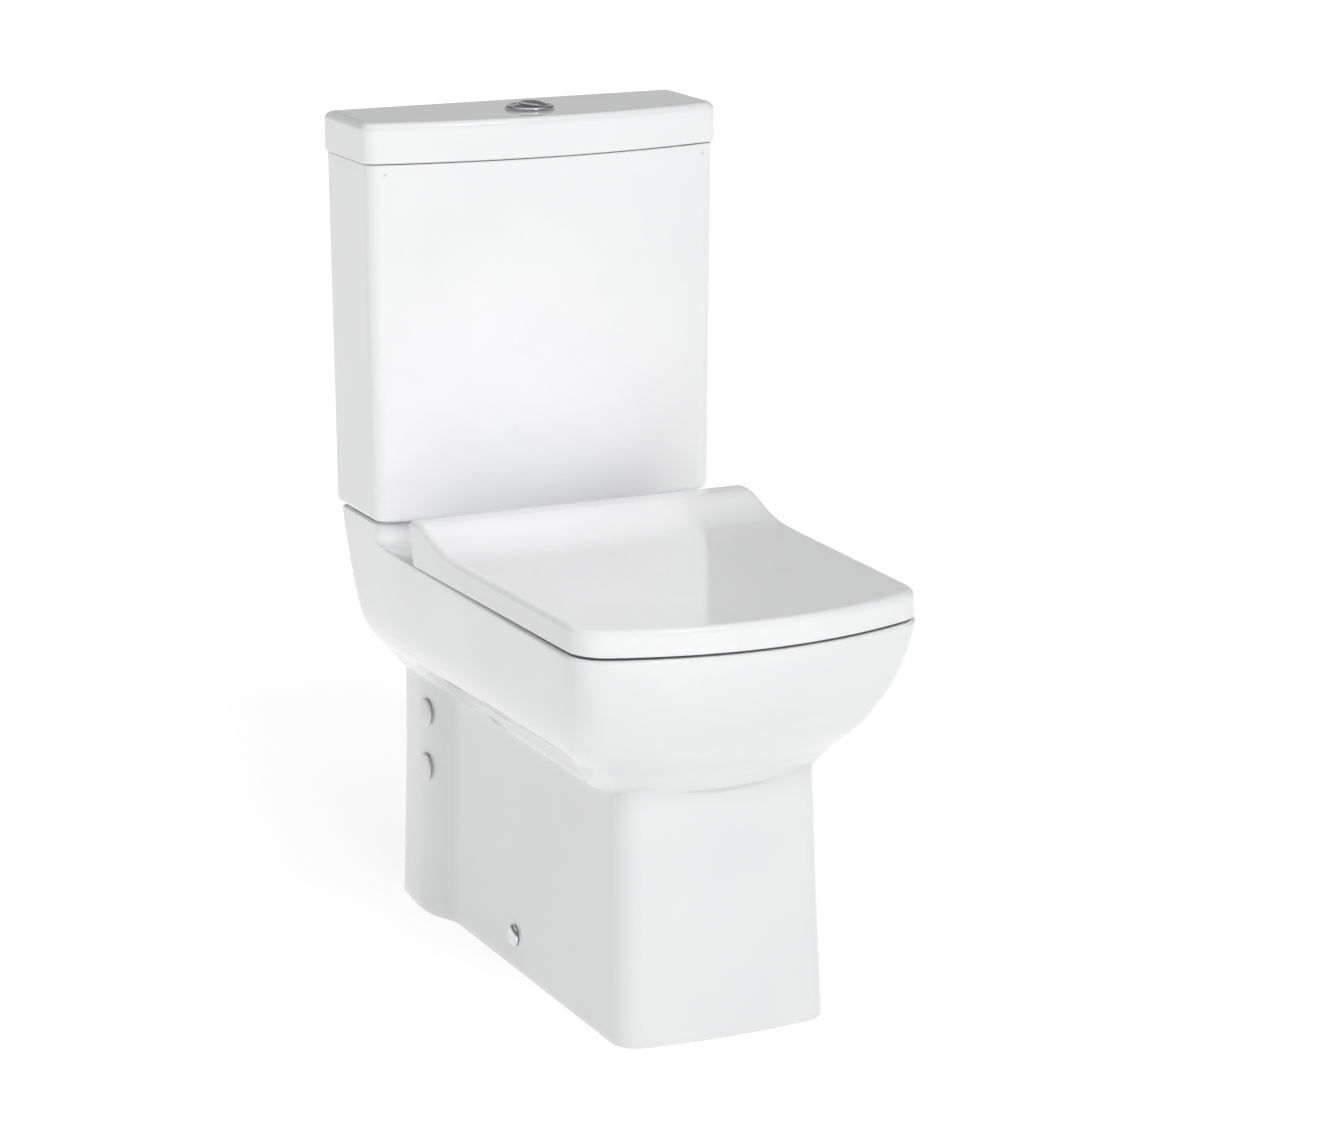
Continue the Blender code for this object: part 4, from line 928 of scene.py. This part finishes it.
world.use_nodes = True
bg = world.node_tree.nodes["Background"]
bg.inputs["Color"].default_value = (1.0, 1.0, 1.0, 1.0)
wnt = world.node_tree
wtc = wnt.nodes.new("ShaderNodeTexCoord")
wsep = wnt.nodes.new("ShaderNodeSeparateXYZ")
wramp = wnt.nodes.new("ShaderNodeValToRGB")
wnt.links.new(wtc.outputs["Generated"], wsep.inputs[0])
wnt.links.new(wsep.outputs["Z"], wramp.inputs["Fac"])
wnt.links.new(wramp.outputs["Color"], bg.inputs["Color"])
for k, (pos, v) in enumerate([(0.0, 0.66), (0.12, 0.48), (0.24, 0.30), (0.40, 0.20), (0.62, 0.15),
                              (0.82, 0.50), (1.0, 1.0)]):
    el = wramp.color_ramp.elements[k] if k < 2 else wramp.color_ramp.elements.new(pos)
    el.position = pos
    el.color = (v, v, v, 1.0)
bg.inputs["Strength"].default_value = 1.0


def area(name, loc, target, size, energy, size_y=None):
    li = bpy.data.lights.new(name, 'AREA')
    li.shape = 'RECTANGLE'
    li.size = size
    li.size_y = size_y or size
    li.energy = energy
    ob = bpy.data.objects.new(name, li)
    bpy.context.scene.collection.objects.link(ob)
    ob.location = loc
    d = Vector(target) - Vector(loc)
    ob.rotation_euler = d.to_track_quat('-Z', 'Y').to_euler()
    return ob


key = area("key", (-0.25, -3.1, 3.5), (0, 0, 0.4), 1.5, 88.0)
key.visible_glossy = False
area("glint", (0.5, -1.4, 3.4), (0, -0.1, 0.4), 0.7, 5.0)
fill = area("fill", (-0.45, -2.0, 1.5), (-0.04, 0.18, 0.42), 0.3, 0.10)
fill.data.spread = radians(10.0)
fill.visible_glossy = False

scene = bpy.context.scene
scene.view_settings.view_transform = 'Standard'
cam_data = bpy.data.cameras.new("camera")
cam = bpy.data.objects.new("camera", cam_data)
scene.collection.objects.link(cam)
yaw, pitch = radians(-25.34), radians(14.28)
back = Vector((sin(yaw) * cos(pitch), -cos(yaw) * cos(pitch), sin(pitch)))
right = Vector((cos(yaw), sin(yaw), 0.0))
up = back.cross(right)
loc = Vector((-1.5938, -3.7417 + DC * MM, 1.3660))
m = Matrix((right, up, back)).transposed().to_4x4()
m.translation = loc
cam.matrix_world = m
cam_data.sensor_width = 36.0
cam_data.lens = 4048.53 * 36.0 / 1318.0
cam_data.clip_end = 50.0
scene.camera = cam

lo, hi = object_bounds()
